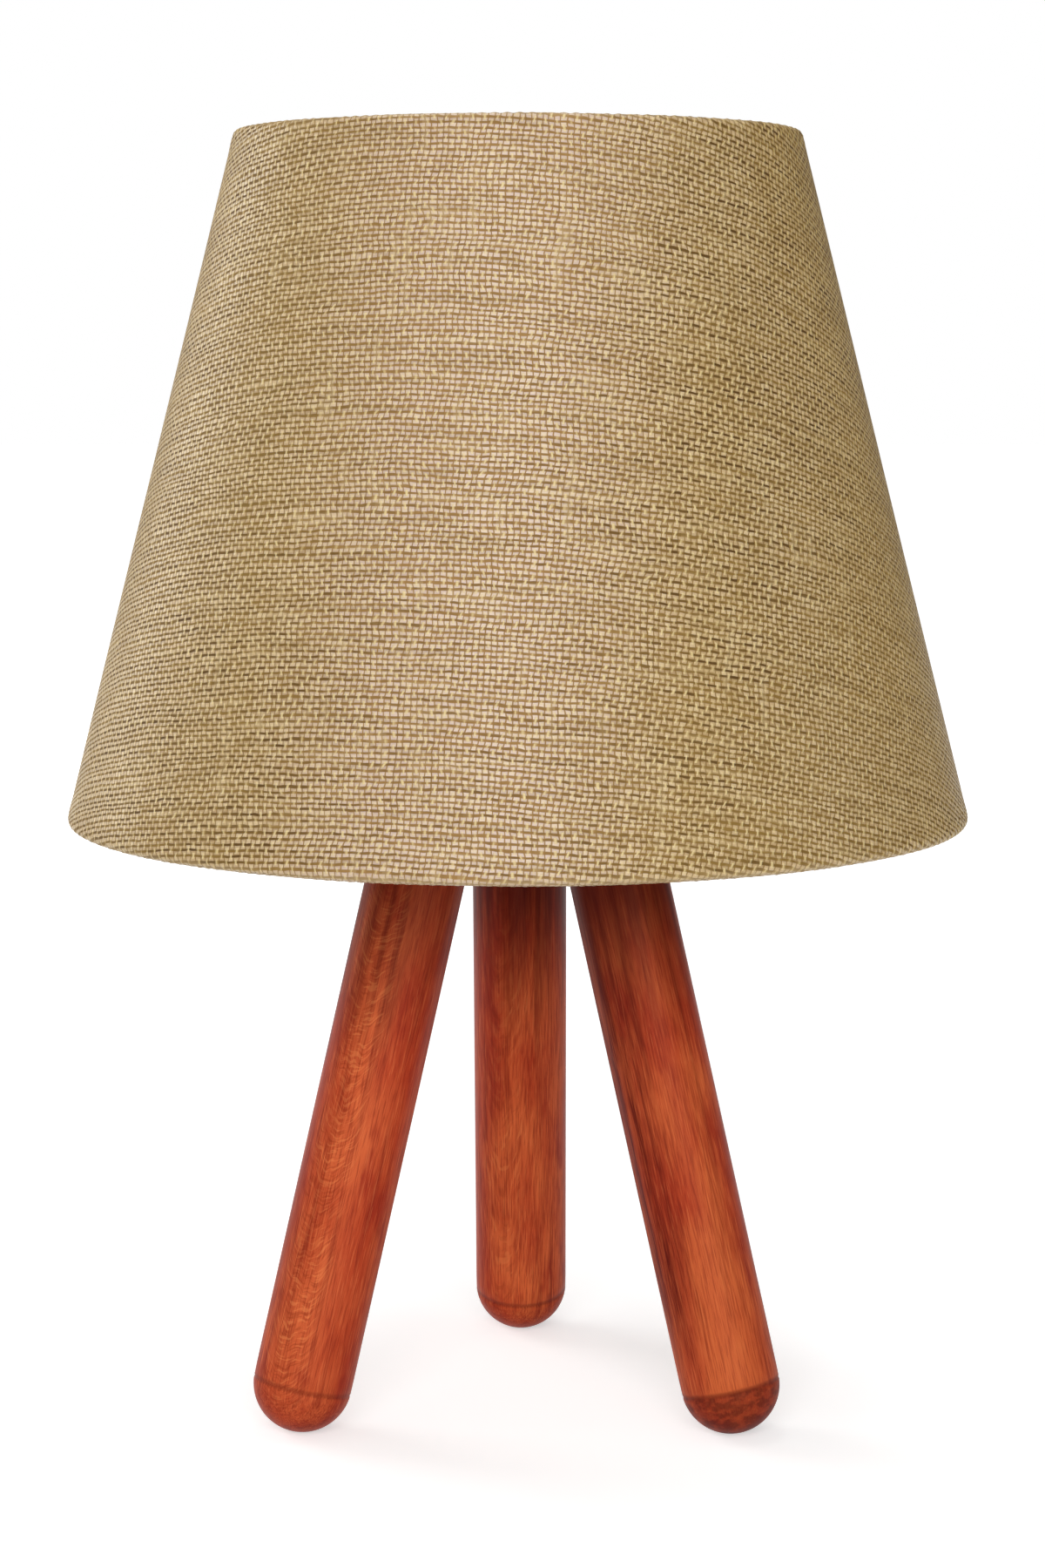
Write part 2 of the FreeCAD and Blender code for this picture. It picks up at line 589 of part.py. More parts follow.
def make_shade_liner():
    """Thin stiff cone between the fabric and the ring wires."""
    outer = LINER_INSIDE + LINER_THICKNESS
    return turned(shade_point(BOTTOM_WIRE, LINER_INSIDE, 0), shade_point(BOTTOM_WIRE, outer, 0),
                  shade_point(TOP_WIRE, outer, 0), shade_point(TOP_WIRE, LINER_INSIDE, 0))


def make_ring_wire(centre):
    """Ring of wire, its round section drawn with flats."""
    corners = []
    for index in range(WIRE_FLATS):
        angle = 2 * math.pi * (index + 0.5) / WIRE_FLATS
        corners.append((centre.x + WIRE_RADIUS * math.cos(angle), centre.z + WIRE_RADIUS * math.sin(angle)))
    return turned(*corners)


def make_shade_spokes():
    spoke = wire_rod(spoke_path(), SPOKE_BEND, SPOKE_DIAMETER)
    return Part.makeCompound([around(spoke, azimuth) for azimuth in SPOKE_AZIMUTHS])


def make_fitter_ring():
    """Flat ring that drops over the lampholder's sleeve and lies on its collar."""
    return tube(FITTER_DIAMETER / 2, FITTER_HOLE / 2, FITTER_BOTTOM, FITTER_THICKNESS)


def make_shade_ring():
    """Threaded ring with a flange and a ribbed grip, screwed down on the fitter ring."""
    bore = SLEEVE_DIAMETER / 2 + SLIDE_FIT
    grip = RING_GRIP_DIAMETER / 2
    flange = RING_FLANGE_DIAMETER / 2
    flange_top = RING_BOTTOM + RING_FLANGE_HEIGHT
    top = RING_BOTTOM + RING_GRIP_HEIGHT
    ring = turned((bore, RING_BOTTOM), (flange, RING_BOTTOM), (flange, flange_top), (grip, flange_top),
                  (grip, top), (bore, top))
    half = RING_RIB_WIDTH / 2
    rib = box_between(V(grip - RING_RIB_HEIGHT, -half, flange_top), V(grip + RING_RIB_HEIGHT, half, top))
    ribs = [around(rib, index * 360 / RING_RIBS) for index in range(RING_RIBS)]
    return ring.fuse(ribs).removeSplitter()


# ---------------------------------------------------------------- bulb
def above_tip(*steps):
    """Lifts a bulb profile, drawn up from its tip, to the bulb's height in the lamp."""
    lifted = []
    for step in steps:
        heights = [value + BULB_TIP_Z if place % 2 else value for place, value in enumerate(step)]
        lifted.append(tuple(heights))
    return turned(*lifted)


def make_bulb_tip():
    """Soldered centre contact, slightly domed underneath."""
    radius = TIP_DIAMETER / 2
    edge = TIP_HEIGHT / 2
    return above_tip((0, 0), bulged((0, 0), (radius, edge), edge / 4), (radius, TIP_HEIGHT), (0, TIP_HEIGHT))


def make_bulb_insulator():
    radius = INSULATOR_DIAMETER / 2 - BULB_CAP_WALL
    return above_tip((0, TIP_HEIGHT), (TIP_DIAMETER / 2, TIP_HEIGHT),
                     (radius, INSULATOR_TOP), (0, INSULATOR_TOP))


def make_bulb_cap():
    """Screw cap of the bulb, a thin metal shell that flares out to a flange."""
    wall = BULB_CAP_WALL
    foot = INSULATOR_DIAMETER / 2
    thread = BULB_THREAD_DIAMETER / 2
    neck = BULB_NECK_DIAMETER / 2
    flange = BULB_FLANGE_DIAMETER / 2
    flange_low = BULB_CAP_LENGTH - BULB_FLANGE_THICKNESS
    return above_tip((foot - wall, INSULATOR_TOP), (foot, INSULATOR_TOP), (thread, BULB_THREAD_START),
                     (thread, BULB_THREAD_END), (neck, BULB_NECK_AT), (neck, BULB_FLARE_AT),
                     (flange, flange_low), (flange, BULB_CAP_LENGTH), (neck - wall, BULB_CAP_LENGTH),
                     (neck - wall, BULB_NECK_AT), (neck - wall, BULB_THREAD_START + wall))


def make_bulb_housing():
    """Plastic cup between cap and globe, with a spigot inside the cap."""
    wall = HOUSING_WALL
    spigot = BULB_NECK_DIAMETER / 2 - BULB_CAP_WALL - SLIDE_FIT
    base = BULB_FLANGE_DIAMETER / 2
    top = HOUSING_TOP_RADIUS
    side = bulged((base, BULB_CAP_LENGTH), (top, HOUSING_TOP), HOUSING_BULGE)
    board_low = HOUSING_TOP - BOARD_DROP - BOARD_THICKNESS
    ledge = top - 2 * wall
    return above_tip((spigot - wall, HOUSING_SPIGOT), (spigot, HOUSING_SPIGOT), (spigot, BULB_CAP_LENGTH),
                     (base, BULB_CAP_LENGTH), side, (top - wall, HOUSING_TOP), (ledge, board_low),
                     (ledge - wall, board_low), (spigot - wall, BULB_CAP_LENGTH + wall))


def make_led_board():
    radius = HOUSING_TOP_RADIUS - 2 * HOUSING_WALL - SLIDE_FIT
    bottom = BULB_TIP_Z + HOUSING_TOP - BOARD_DROP - BOARD_THICKNESS
    return round_block(radius, bottom, BOARD_THICKNESS)


def make_leds():
    bottom = BULB_TIP_Z + HOUSING_TOP - BOARD_DROP
    half = LED_SIZE / 2
    chip = box_between(V(LED_CIRCLE_RADIUS - half, -half, bottom),
                       V(LED_CIRCLE_RADIUS + half, half, bottom + LED_HEIGHT))
    return Part.makeCompound([around(chip, index * 360 / LED_COUNT) for index in range(LED_COUNT)])


def make_bulb_driver():
    """Upright circuit board in the cap, soldered under the LED board, with its capacitor."""
    low = BULB_TIP_Z + DRIVER_BOTTOM
    high = BULB_TIP_Z + HOUSING_TOP - BOARD_DROP - BOARD_THICKNESS
    half = V(DRIVER_THICKNESS / 2, DRIVER_WIDTH / 2, 0)
    board = box_between(V(0, 0, low) - half, V(0, 0, high) + half)
    can_radius = CAPACITOR_DIAMETER / 2
    can_foot = V(can_radius, 0, high - CAPACITOR_LENGTH - CAPACITOR_GAP)
    can = Part.makeCylinder(can_radius, CAPACITOR_LENGTH, can_foot, UP)
    return board.fuse(can).removeSplitter()


def make_bulb_globe():
    """Opal ball on the housing's rim."""
    radius = GLOBE_RADIUS
    inner = radius - GLOBE_WALL
    rim = math.degrees(math.asin((HOUSING_TOP - GLOBE_CENTRE) / radius))
    inner_rim = math.degrees(math.asin((HOUSING_TOP - GLOBE_CENTRE) / inner))
    return above_tip((HOUSING_TOP_RADIUS, HOUSING_TOP), arc_about(0, GLOBE_CENTRE, radius, rim, 90),
                     (0, GLOBE_CENTRE + inner), arc_about(0, GLOBE_CENTRE, inner, 90, inner_rim))


# ---------------------------------------------------------------- the lamp
def make_lamp():
    lamp = {name: make_leg(azimuth) for name, azimuth in LEG_AZIMUTHS.items()}
    lamp["hub"] = make_hub()
    lamp["leg_screws"] = make_leg_screws()
    lamp["nipple"] = make_nipple()
    lamp["nipple_washer"] = make_nipple_washer()
    lamp["nipple_nut"] = make_nipple_nut()
    lamp["cable_bushing"] = make_cable_bushing()
    lamp["holder_cap"] = make_holder_cap()
    lamp["cap_lock_screw"] = lock_screw(0)
    lamp["holder_skirt"] = make_holder_skirt()
    lamp["contact_carrier"] = make_contact_carrier()
    lamp["centre_contact"] = make_centre_contact()
    lamp["side_contact"] = make_side_contact()
    lamp["screw_shell"] = make_screw_shell()
    lamp["terminal_blocks"] = make_terminal_blocks()
    lamp["terminal_screws"] = make_terminal_screws()
    lamp["shade_fabric"] = make_shade_fabric()
    lamp["shade_liner"] = make_shade_liner()
    lamp["bottom_ring"] = make_ring_wire(BOTTOM_WIRE)
    lamp["top_ring"] = make_ring_wire(TOP_WIRE)
    lamp["shade_spokes"] = make_shade_spokes()
    lamp["fitter_ring"] = make_fitter_ring()
    lamp["shade_ring"] = make_shade_ring()
    lamp["bulb_tip"] = make_bulb_tip()
    lamp["bulb_insulator"] = make_bulb_insulator()
    lamp["bulb_cap"] = make_bulb_cap()
    lamp["bulb_housing"] = make_bulb_housing()
    lamp["bulb_driver"] = make_bulb_driver()
    lamp["led_board"] = make_led_board()
    lamp["leds"] = make_leds()
    lamp["bulb_globe"] = make_bulb_globe()
    return lamp


os.makedirs("parts", exist_ok=True)
for name, shape in make_lamp().items():
    shape.exportStep(f"parts/{name}.step")
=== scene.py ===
import json
import math
import bpy
import numpy as np
from collections import namedtuple
from mathutils import Matrix, Vector


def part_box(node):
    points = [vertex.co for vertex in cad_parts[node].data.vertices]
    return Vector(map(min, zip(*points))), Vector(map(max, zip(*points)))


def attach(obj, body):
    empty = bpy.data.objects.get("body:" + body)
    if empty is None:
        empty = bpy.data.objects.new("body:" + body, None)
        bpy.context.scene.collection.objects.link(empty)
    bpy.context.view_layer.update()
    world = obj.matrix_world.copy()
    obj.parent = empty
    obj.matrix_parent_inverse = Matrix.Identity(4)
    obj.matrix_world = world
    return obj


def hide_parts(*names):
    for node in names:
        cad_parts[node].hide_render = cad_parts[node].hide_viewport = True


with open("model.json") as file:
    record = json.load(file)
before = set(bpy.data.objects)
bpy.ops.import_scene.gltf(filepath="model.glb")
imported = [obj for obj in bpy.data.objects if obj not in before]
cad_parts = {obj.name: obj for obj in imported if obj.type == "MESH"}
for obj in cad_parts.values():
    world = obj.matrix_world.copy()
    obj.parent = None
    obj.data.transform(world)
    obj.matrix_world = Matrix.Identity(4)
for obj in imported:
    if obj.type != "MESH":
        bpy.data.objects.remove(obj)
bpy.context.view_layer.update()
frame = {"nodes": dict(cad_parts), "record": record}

# A table lamp on three legs. Metres, with Z up and the lamp's front towards -Y.

# ---------------------------------------------------------------- camera
CAMERA_PLACE = (0.01128, -0.8322, 0.2600)
CAMERA_PITCH = 0.1257           # radians below the horizon
CAMERA_YAW = 0.0122             # radians to the left
FOCAL_PIXELS = 3904             # in the photograph's 1800-pixel height
PHOTO_HEIGHT = 1800
SENSOR = 36.0                   # millimetres, along the photograph's height

# ---------------------------------------------------------------- light
# Name: place, target, side of the square lamp, watts.
LIGHTS = {"key": ((-0.10, -1.7, 0.95), (0.0, 0.0, 0.15), 1.0, 17.0),
          "left": ((-1.25, 0.80, 0.6), (0.0, 0.0, 0.15), 0.8, 9.0),
          "fill": ((0.7, -1.5, 0.4), (0.0, 0.0, 0.15), 0.8, 5.4),
          "top": ((0.0, 0.1, 1.5), (0.0, 0.0, 0.2), 0.8, 6.0)}
WORLD_LEFT = 0.45               # strength of the world's light at -X
WORLD_RIGHT = 0.11              # and at +X
WHITE = (1.0, 1.0, 1.0)
FLOOR_CORNERS = ((-6, -3, 0), (6, -3, 0), (6, 9, 0), (-6, 9, 0))
FLOOR_COLOUR = (0.80, 0.80, 0.80)
FLOOR_ROUGHNESS = 0.9
FLOOR_GLOW_REACH = (0.3, 1.3)   # distance from the lamp over which the floor's glow rises
FLOOR_GLOW = (0.52, 0.85)       # its strength near the lamp and far from it

# ---------------------------------------------------------------- legs
LEGS = {"leg_left": "foot_left", "leg_right": "foot_right", "leg_rear": "foot_rear"}
LEG_LENGTH = 0.165
LEG_RADIUS = 0.012
LEG_LEAN = math.radians(14.5)
DOME_HEIGHT = 0.0115
DOME_RADIUS = (LEG_RADIUS ** 2 + DOME_HEIGHT ** 2) / (2 * DOME_HEIGHT)
FOOT_FLAT_DEPTH = 0.00015
FOOT_GROOVE = 0.0002            # where the domed foot begins
GROOVE_STEP = 0.2               # of the groove's depth, at its upper edge
LEG_TOP_CHAMFER = 0.001
LEG_SIDES = 96
LEG_RINGS = 60
DOME_RINGS = 24

# ---------------------------------------------------------------- turned parts
Thread = namedtuple("Thread", "pitch depth rings_per_turn")
EASED_EDGE = 0.0004

SLEEVE_THREAD = Thread(0.002, 0.0008, 8)
SLEEVE_SIDES = 80
SLEEVE_RADIUS = 0.014
SLEEVE_BORE = 0.0106
SLEEVE_HEIGHT = 0.026
COLLAR_RADIUS = 0.017
COLLAR_HEIGHT = 0.003
TAIL_RADIUS = 0.01255
RIM_OPENING = 0.009
RIM_THICKNESS = 0.0026
RIM_CHAMFER = 0.001

CAP_THREAD = Thread(0.002822, 0.0006, 10)
CAP_SIDES = 72
CAP_WALL = 0.0004
CAP_FOOT_RADIUS = 0.0053
CAP_THREAD_RADIUS = 0.00695
CAP_NECK_RADIUS = 0.0064
CAP_FLANGE_RADIUS = 0.0085
CAP_HEIGHT = 0.025              # this and the next heights are above the bulb's tip
CAP_THREAD_LOW = 0.005
CAP_THREAD_HIGH = 0.0196
CAP_NECK_LOW = 0.0205
CAP_NECK_HIGH = 0.0215
CAP_FLANGE_LOW = 0.024
CAP_INSIDE_LOW = 0.0054

SCREW_THREAD = Thread(0.0016, 0.0005, 6)
SCREW_SIDES = 48
SCREW_HEAD_RADIUS = 0.004
SCREW_SHANK_RADIUS = 0.002
SCREW_HEAD_HEIGHT = 0.0026
SCREW_EDGE = 0.0002
SCREW_SINK = 0.0016             # head below the hub's top, along the screw
SCREW_LENGTH = 0.035
SCREW_PLAIN = 0.008             # from the top of the head down to the thread
SCREW_POINT = 0.005
CROWN_RINGS = 9
RECESS_HALF_WIDTH = 0.00045     # of the cross in the screw's head
RECESS_REACH = 0.0023
RECESS_DEPTH = 0.0011

# ---------------------------------------------------------------- shade
CLOTH_THICKNESS = 0.0009
CLOTH_TUCK = 0.007
CLOTH_TURN = math.radians(4)    # the weft lies a little askew
WARP_PITCH = 0.00141
WEFT_PITCH = 0.00130
YARN_RELIEF = 0.00012           # on the rolled edges
YARN_SINK = 0.00010             # of the surface, so that the crowns stay in the cloth's thickness
RIPPLE = 0.00006                # height of the shallow waves in the cloth
RIPPLE_WAVES = (9, 4)           # round the shade, over each other
RIPPLE_TWIST = 40               # radians per metre up the cloth
RIPPLE_PHASE = 1.0
SEAM_ANGLE = 0.12               # radians that the cloth's ends overlap by, at the back
SEAM_RAMP = 0.4                 # of that angle, over which the upper end rises
SEAM_LIFT = 0.8 * CLOTH_THICKNESS
ROLL_RADIUS = 0.0027            # wire's centre to the middle of the cloth
ROLL_SQUARE = 4.0               # 2 is a round roll, and more is squarer
PALE_FOLD = 1.3 * ROLL_RADIUS     # from the end of the wall to the paler fold, on the flat cloth
SHEEN_BAND_MIDDLE = 0.017             # of the band of painted sheen down the front, along the flat cloth
SHEEN_BAND_FADE = (0.012, 0.056)      # distances from its middle over which the painted sheen fades
FLANK_SHADE_FADE = (0.17, 0.32)        # radians on the flat cloth over which the painted shade turns it tanner
HEM_STEPS = 1200                # round the shade, at the rolled edges
WALL_STEPS = 300                # round the shade, on its wall
TUCK_RINGS = 4
ROLL_RINGS = 14
WALL_RINGS = 44
OUTSIDE_MARGIN = 0.005          # of the height of a row on the bake map
INSIDE_SHARE = 0.04             # of the bake map's height, for each of the two strips of the cloth's inside
INSIDE_MARGIN = 0.05            # of the height of a strip
LINER_RADIUS = 0.088            # about half way up


def linear(red, green, blue):
    """Scene colour of an 8-bit display colour."""
    return tuple(((c / 255 + 0.055) / 1.055) ** 2.4 if c > 10 else c / 255 / 12.92 for c in (red, green, blue))


def palette(colours):
    return {name: linear(*colour) for name, colour in colours.items()}


JUTE = palette({
    "warp": (193, 162, 116), "warp_pale": (205, 176, 137), "warp_bright": (215, 191, 150),
    # The pinker warp and between colours here are painted sheen for the front of the shade.
    "warp_painted_sheen": (216, 194, 184), "between": (142, 111, 50), "between_painted_sheen": (160, 122, 70),
    "weft_dull": (130, 99, 42), "weft_light": (212, 187, 136), "stripe": (214, 190, 142),
    # The tick colour is the warp's crown with a painted highlight.
    "warp_gap": (110, 80, 28), "tick_and_highlight": (230, 207, 148), "dash": (86, 57, 2), "fold_pale": (206, 180, 134),
    "cut_edge": (84, 62, 24)})
# Painted shade for the cloth's sides.
JUTE_FLANK_SHADE = (1.03, 0.98, 0.74)
# In the stain colours below, top is the lamp shade's painted shadow with some darker stain.
STAIN = palette({
    "deep": (178, 62, 34), "light": (208, 96, 54), "blush": (152, 41, 26), "ring": (144, 41, 26),
    "ring_pale": (224, 116, 68), "streak": (118, 29, 20), "pore": (117, 31, 20), "fibre_pale": (229, 125, 76),
    # The dark side colour is painted shade.
    "curl_dark": (128, 34, 12), "curl_pale": (232, 134, 78), "painted_shade_side": (96, 20, 10),
    # The pale side colour is painted light.
    "painted_light_side": (220, 114, 60), "top": (78, 15, 6), "end_dark": (96, 24, 16), "end_brown": (146, 50, 28),
    # The orange end grain colour is painted glints.
    "end_painted_glint": (196, 84, 40), "foot_edge": (84, 20, 9)})
FILM = palette({"white": (238, 232, 217), "cream": (233, 226, 209), "shadow": (222, 210, 184)})

# Depths of relief that the materials show.
YARN_BUMP = 0.00022
WOOD_BUMP = 0.00010
FILM_BUMP = 0.00006
PLAIN_BUMP = 0.00002

CLOTH_SPECULAR = 0.45
WOOD_SPECULAR = 0.06            # low, so that the legs' edges don't turn grey
PLAIN_GLOSS_SPREAD = 0.15       # of a plain finish's roughness, up and down
GRAINS_PER_MOTTLE = 12

# Slot: colour, second colour, roughness, mottles per metre, metal?
PLAIN_FINISHES = {
    "zinc_steel": ((190, 190, 186), (160, 162, 162), 0.32, 300, True),
    "white_plastic": ((234, 231, 223), (229, 226, 217), 0.40, 300, False),
    "insulator": ((214, 208, 192), (204, 197, 180), 0.55, 200, False),
    "brass_strip": ((205, 170, 98), (184, 146, 80), 0.28, 260, True),
    "nickel_shell": ((206, 202, 194), (186, 182, 174), 0.22, 260, True),
    "white_wire": ((228, 227, 222), (216, 214, 208), 0.35, 240, False),
    "solder": ((176, 176, 178), (150, 150, 154), 0.38, 500, True),
    "black_glass": ((26, 26, 28), (36, 34, 34), 0.15, 200, False),
    "bulb_plastic": ((238, 237, 232), (230, 229, 224), 0.30, 90, False),
    "circuit_board": ((30, 96, 58), (24, 80, 50), 0.40, 400, False),
    "board_aluminium": ((226, 227, 228), (214, 216, 218), 0.40, 300, False),
    "led_yellow": ((232, 206, 84), (222, 190, 70), 0.30, 500, False),
    "opal": ((244, 243, 238), (238, 237, 231), 0.35, 40, False)}


# ---------------------------------------------------------------- node helpers
class Nodes:
    """A node tree whose calls add a node and return its socket, which other calls take."""

    def __init__(self, tree):
        self.tree = tree

    def put(self, socket, value):
        if isinstance(value, bpy.types.NodeSocket):
            self.tree.links.new(value, socket)
        elif isinstance(value, tuple) and len(value) == 3 and socket.type == "RGBA":
            socket.default_value = (*value, 1)
        else:
            socket.default_value = value

    def node(self, kind, inputs=(), **settings):
        node = self.tree.nodes.new(kind)
        for key, value in settings.items():
            setattr(node, key, value)
        for index, value in enumerate(inputs):
            if value is not None:
                self.put(node.inputs[index], value)
        return node

    def maths(self, operation, *values):
        return self.node("ShaderNodeMath", values, operation=operation).outputs[0]

    def absolute(self, value):
        return self.maths("ABSOLUTE", value)

    def floor(self, value):
        return self.maths("FLOOR", value)

    def fraction(self, value):
        return self.maths("FRACT", value)

    def plus(self, *values):
        total = values[0]
        for value in values[1:]:
            total = self.maths("ADD", total, value)
        return total

    def times(self, *values):
        product = values[0]
        for value in values[1:]:
            product = self.maths("MULTIPLY", product, value)
        return product

    def sway(self, value, amount):
        """A value from 0 to 1 as a deviation to both sides, amount wide in all."""
        return self.times(self.plus(value, -0.5), amount)

    def length(self, x, y):
        return self.maths("SQRT", self.plus(self.times(x, x), self.times(y, y)))

    def ramp(self, value, low, high, to_low=0.0, to_high=1.0):
        return self.node("ShaderNodeMapRange", (value, low, high, to_low, to_high)).outputs[0]

    def smooth(self, value, low, high, to_low=0.0, to_high=1.0):
        """Smooth step of a value from low to high."""
        node = self.node("ShaderNodeMapRange", (value, low, high, to_low, to_high))
        node.interpolation_type = "SMOOTHSTEP"
        return node.outputs[0]

    def join(self, x, y, z=0.0):
        return self.node("ShaderNodeCombineXYZ", (x, y, z)).outputs[0]

    def split(self, vector):
        return self.node("ShaderNodeSeparateXYZ", (vector,)).outputs

    def vector(self, operation, one, other):
        return self.node("ShaderNodeVectorMath", (one, other), operation=operation).outputs[0]

    def noise(self, vector, detail=2.0, roughness=0.5, scale=1.0):
        return self.node("ShaderNodeTexNoise", (vector, None, scale, detail, roughness)).outputs["Fac"]

    def patches(self, vector, scale, offset=None, detail=2.0, roughness=0.5):
        """Noise with its own number of waves per metre along each axis."""
        vector = self.vector("MULTIPLY", vector, scale)
        if offset:
            vector = self.vector("ADD", vector, offset)
        return self.noise(vector, detail, roughness)

    def chance(self, vector):
        """A random value from 0 to 1 for each whole-numbered vector."""
        return self.node("ShaderNodeTexWhiteNoise", (vector,), noise_dimensions="3D").outputs["Value"]

    def mix(self, factor, one, other, blend="MIX"):
        node = self.tree.nodes.new("ShaderNodeMix")
        node.data_type = "RGBA"
        node.blend_type = blend
        self.put(node.inputs["Factor"], factor)
        self.put(node.inputs[6], one)       # inputs 6 and 7 and output 2 are the node's colours
        self.put(node.inputs[7], other)
        return node.outputs[2]

    def layered(self, colour, *layers):
        """Colour with others laid over it, each given as (factor, colour)."""
        for factor, other in layers:
            colour = self.mix(factor, colour, other)
        return colour


class Finish(Nodes):
    """One procedural material."""

    def __init__(self, name):
        self.material = bpy.data.materials.new(name)
        self.material.use_nodes = True
        super().__init__(self.material.node_tree)
        self.shader = self.tree.nodes["Principled BSDF"]
        self.place = self.node("ShaderNodeTexCoord").outputs["Object"]

    def bump(self, height, distance, strength):
        node = self.node("ShaderNodeBump", (strength, distance))
        self.put(node.inputs["Height"], height)
        return node.outputs[0]

    def done(self, colour, roughness, normal, **constants):
        self.put(self.shader.inputs["Base Color"], colour)
        self.put(self.shader.inputs["Roughness"], roughness)
        self.put(self.shader.inputs["Normal"], normal)
        for key, value in constants.items():
            self.put(self.shader.inputs[key.replace("_", " ")], value)
        return self.material


# ---------------------------------------------------------------- cloth
class Weave(Finish):
    """Coarse plain weave. Dark weft shows as dashes between the crowns of a wide pale warp.

    Threads are counted on the flat cloth, whose distance from the origin is the slant height of the cone.
    """

    def __init__(self):
        super().__init__("woven_jute")
        self.flat = self.node("ShaderNodeUVMap", uv_map="Weave").outputs[0]
        self.along, self.down, _ = self.split(self.flat)
        self.count_threads()
        self.number_crossings()
        self.streak = self.noise(self.join(self.times(self.across, 0.08), self.times(self.row, 2.7)))
        # Paler, pinker and less sharp in a broad band down the front: painted sheen.
        self.painted_sheen = self.smooth(self.absolute(self.plus(self.along, -SHEEN_BAND_MIDDLE)), *SHEEN_BAND_FADE, 1.0, 0.0)

    def count_threads(self):
        """Place in the weave, in warps across and wefts up, where the yarns wander and swell."""
        wander = self.patches(self.flat, (40.0, 70.0, 0.0))
        drift = self.patches(self.flat, (30.0, 60.0, 0.0), (7.3, 2.1, 0.0))
        thick = self.noise(self.join(self.times(self.down, 260.0), 5.5), 1.0)
        broad = self.noise(self.join(self.times(self.along, 240.0), 9.5), 1.0)
        jerk = self.patches(self.flat, (300.0, 360.0, 0.0), (4.1, 8.2, 0.0), 1.0)
        self.jolt = self.patches(self.flat, (330.0, 330.0, 0.0), None, 1.0)
        self.across = self.plus(self.times(self.along, 1 / WARP_PITCH), self.sway(wander, 2.4),
                                self.sway(broad, 0.9), self.sway(self.jolt, 0.55))
        self.rise = self.plus(self.times(self.down, 1 / WEFT_PITCH), self.sway(drift, 1.5),
                              self.sway(thick, 0.8), self.sway(jerk, 0.45))

    def number_crossings(self):
        """Whole numbers and a random value for each dash, tick and pad."""
        column = self.floor(self.plus(self.across, 0.5))
        self.row = self.floor(self.plus(self.rise, 0.5))
        self.above = self.maths("SUBTRACT", self.rise, self.row)
        self.off_row = self.absolute(self.above)
        self.gap = self.smooth(self.absolute(self.maths("SUBTRACT", self.across, column)), 0.35, 0.48)
        self.crossing = self.times(self.plus(self.across, self.row), 0.5)
        self.dash_luck = self.chance(self.join(self.floor(self.crossing), self.row, 3.0))
        self.tick_luck = self.chance(self.join(self.floor(self.plus(self.crossing, 0.5)), self.row, 8.0))
        self.pad_luck = self.chance(self.join(column, self.floor(self.rise), 14.0))

    def dashes(self):
        """Weft that shows dark: two warps apart, and half of that further on in the next row."""
        off_dash = self.absolute(self.plus(self.fraction(self.crossing), self.sway(self.dash_luck, 0.10), -0.5))
        region = self.patches(self.flat, (11.0, 7.0, 0.0), (0.0, 3.4, 0.0))
        # The dashes are weaker under the painted sheen down the front.
        strength = self.times(self.smooth(self.streak, 0.34, 0.58, 0.25, 1.0),
                              self.smooth(region, 0.36, 0.60, 0.60, 1.0),
                              self.plus(0.45, self.times(self.dash_luck, 0.55)),
                              self.plus(1.15, self.times(self.painted_sheen, -0.50)))
        half_height = self.plus(0.15, self.times(self.tick_luck, 0.06))
        high = self.smooth(self.maths("SUBTRACT", half_height, self.off_row), -0.07, 0.06)
        stretch = self.plus(self.times(self.tick_luck, 0.06), self.smooth(self.streak, 0.58, 0.66, 0.0, -0.10))
        wide = self.smooth(self.plus(off_dash, stretch), 0.31, 0.40, 1.0, 0.0)
        return self.times(high, wide, strength)

    def ticks_and_highlights(self):
        """Crowns of the pale warp that lean between two dashes, painted lighter as a highlight."""
        off_tick = self.sway(self.fraction(self.plus(self.crossing, 0.5)), 2.0)
        lean = self.times(self.plus(self.tick_luck, -0.4), self.above, 0.6)
        wide = self.smooth(self.absolute(self.plus(off_tick, lean)), 0.08, 0.28, 1.0, 0.0)
        high = self.smooth(self.off_row, 0.36, 0.66, 1.0, 0.0)
        return self.times(wide, high, self.plus(0.25, self.times(self.dash_luck, 0.65)))

    def pads(self):
        """What shows of each warp between the rows of dashes."""
        off_row = self.plus(self.off_row, self.sway(self.pad_luck, 0.10))
        return self.times(self.smooth(off_row, 0.15, 0.30), self.maths("SUBTRACT", 1.0, self.gap))

    def yarn_colour(self, pad, tick_and_highlight, dash):
        slub = self.noise(self.join(self.times(self.across, 0.045), self.times(self.floor(self.rise), 0.83), 2.0))
        stripe = self.noise(self.join(self.times(self.floor(self.across), 0.83), self.times(self.rise, 0.045), 6.0))
        blotch = self.patches(self.flat, (24.0, 15.0, 0.0), None, 3.0)
        crown = self.mix(self.smooth(blotch, 0.30, 0.70), JUTE["warp"], JUTE["warp_pale"])
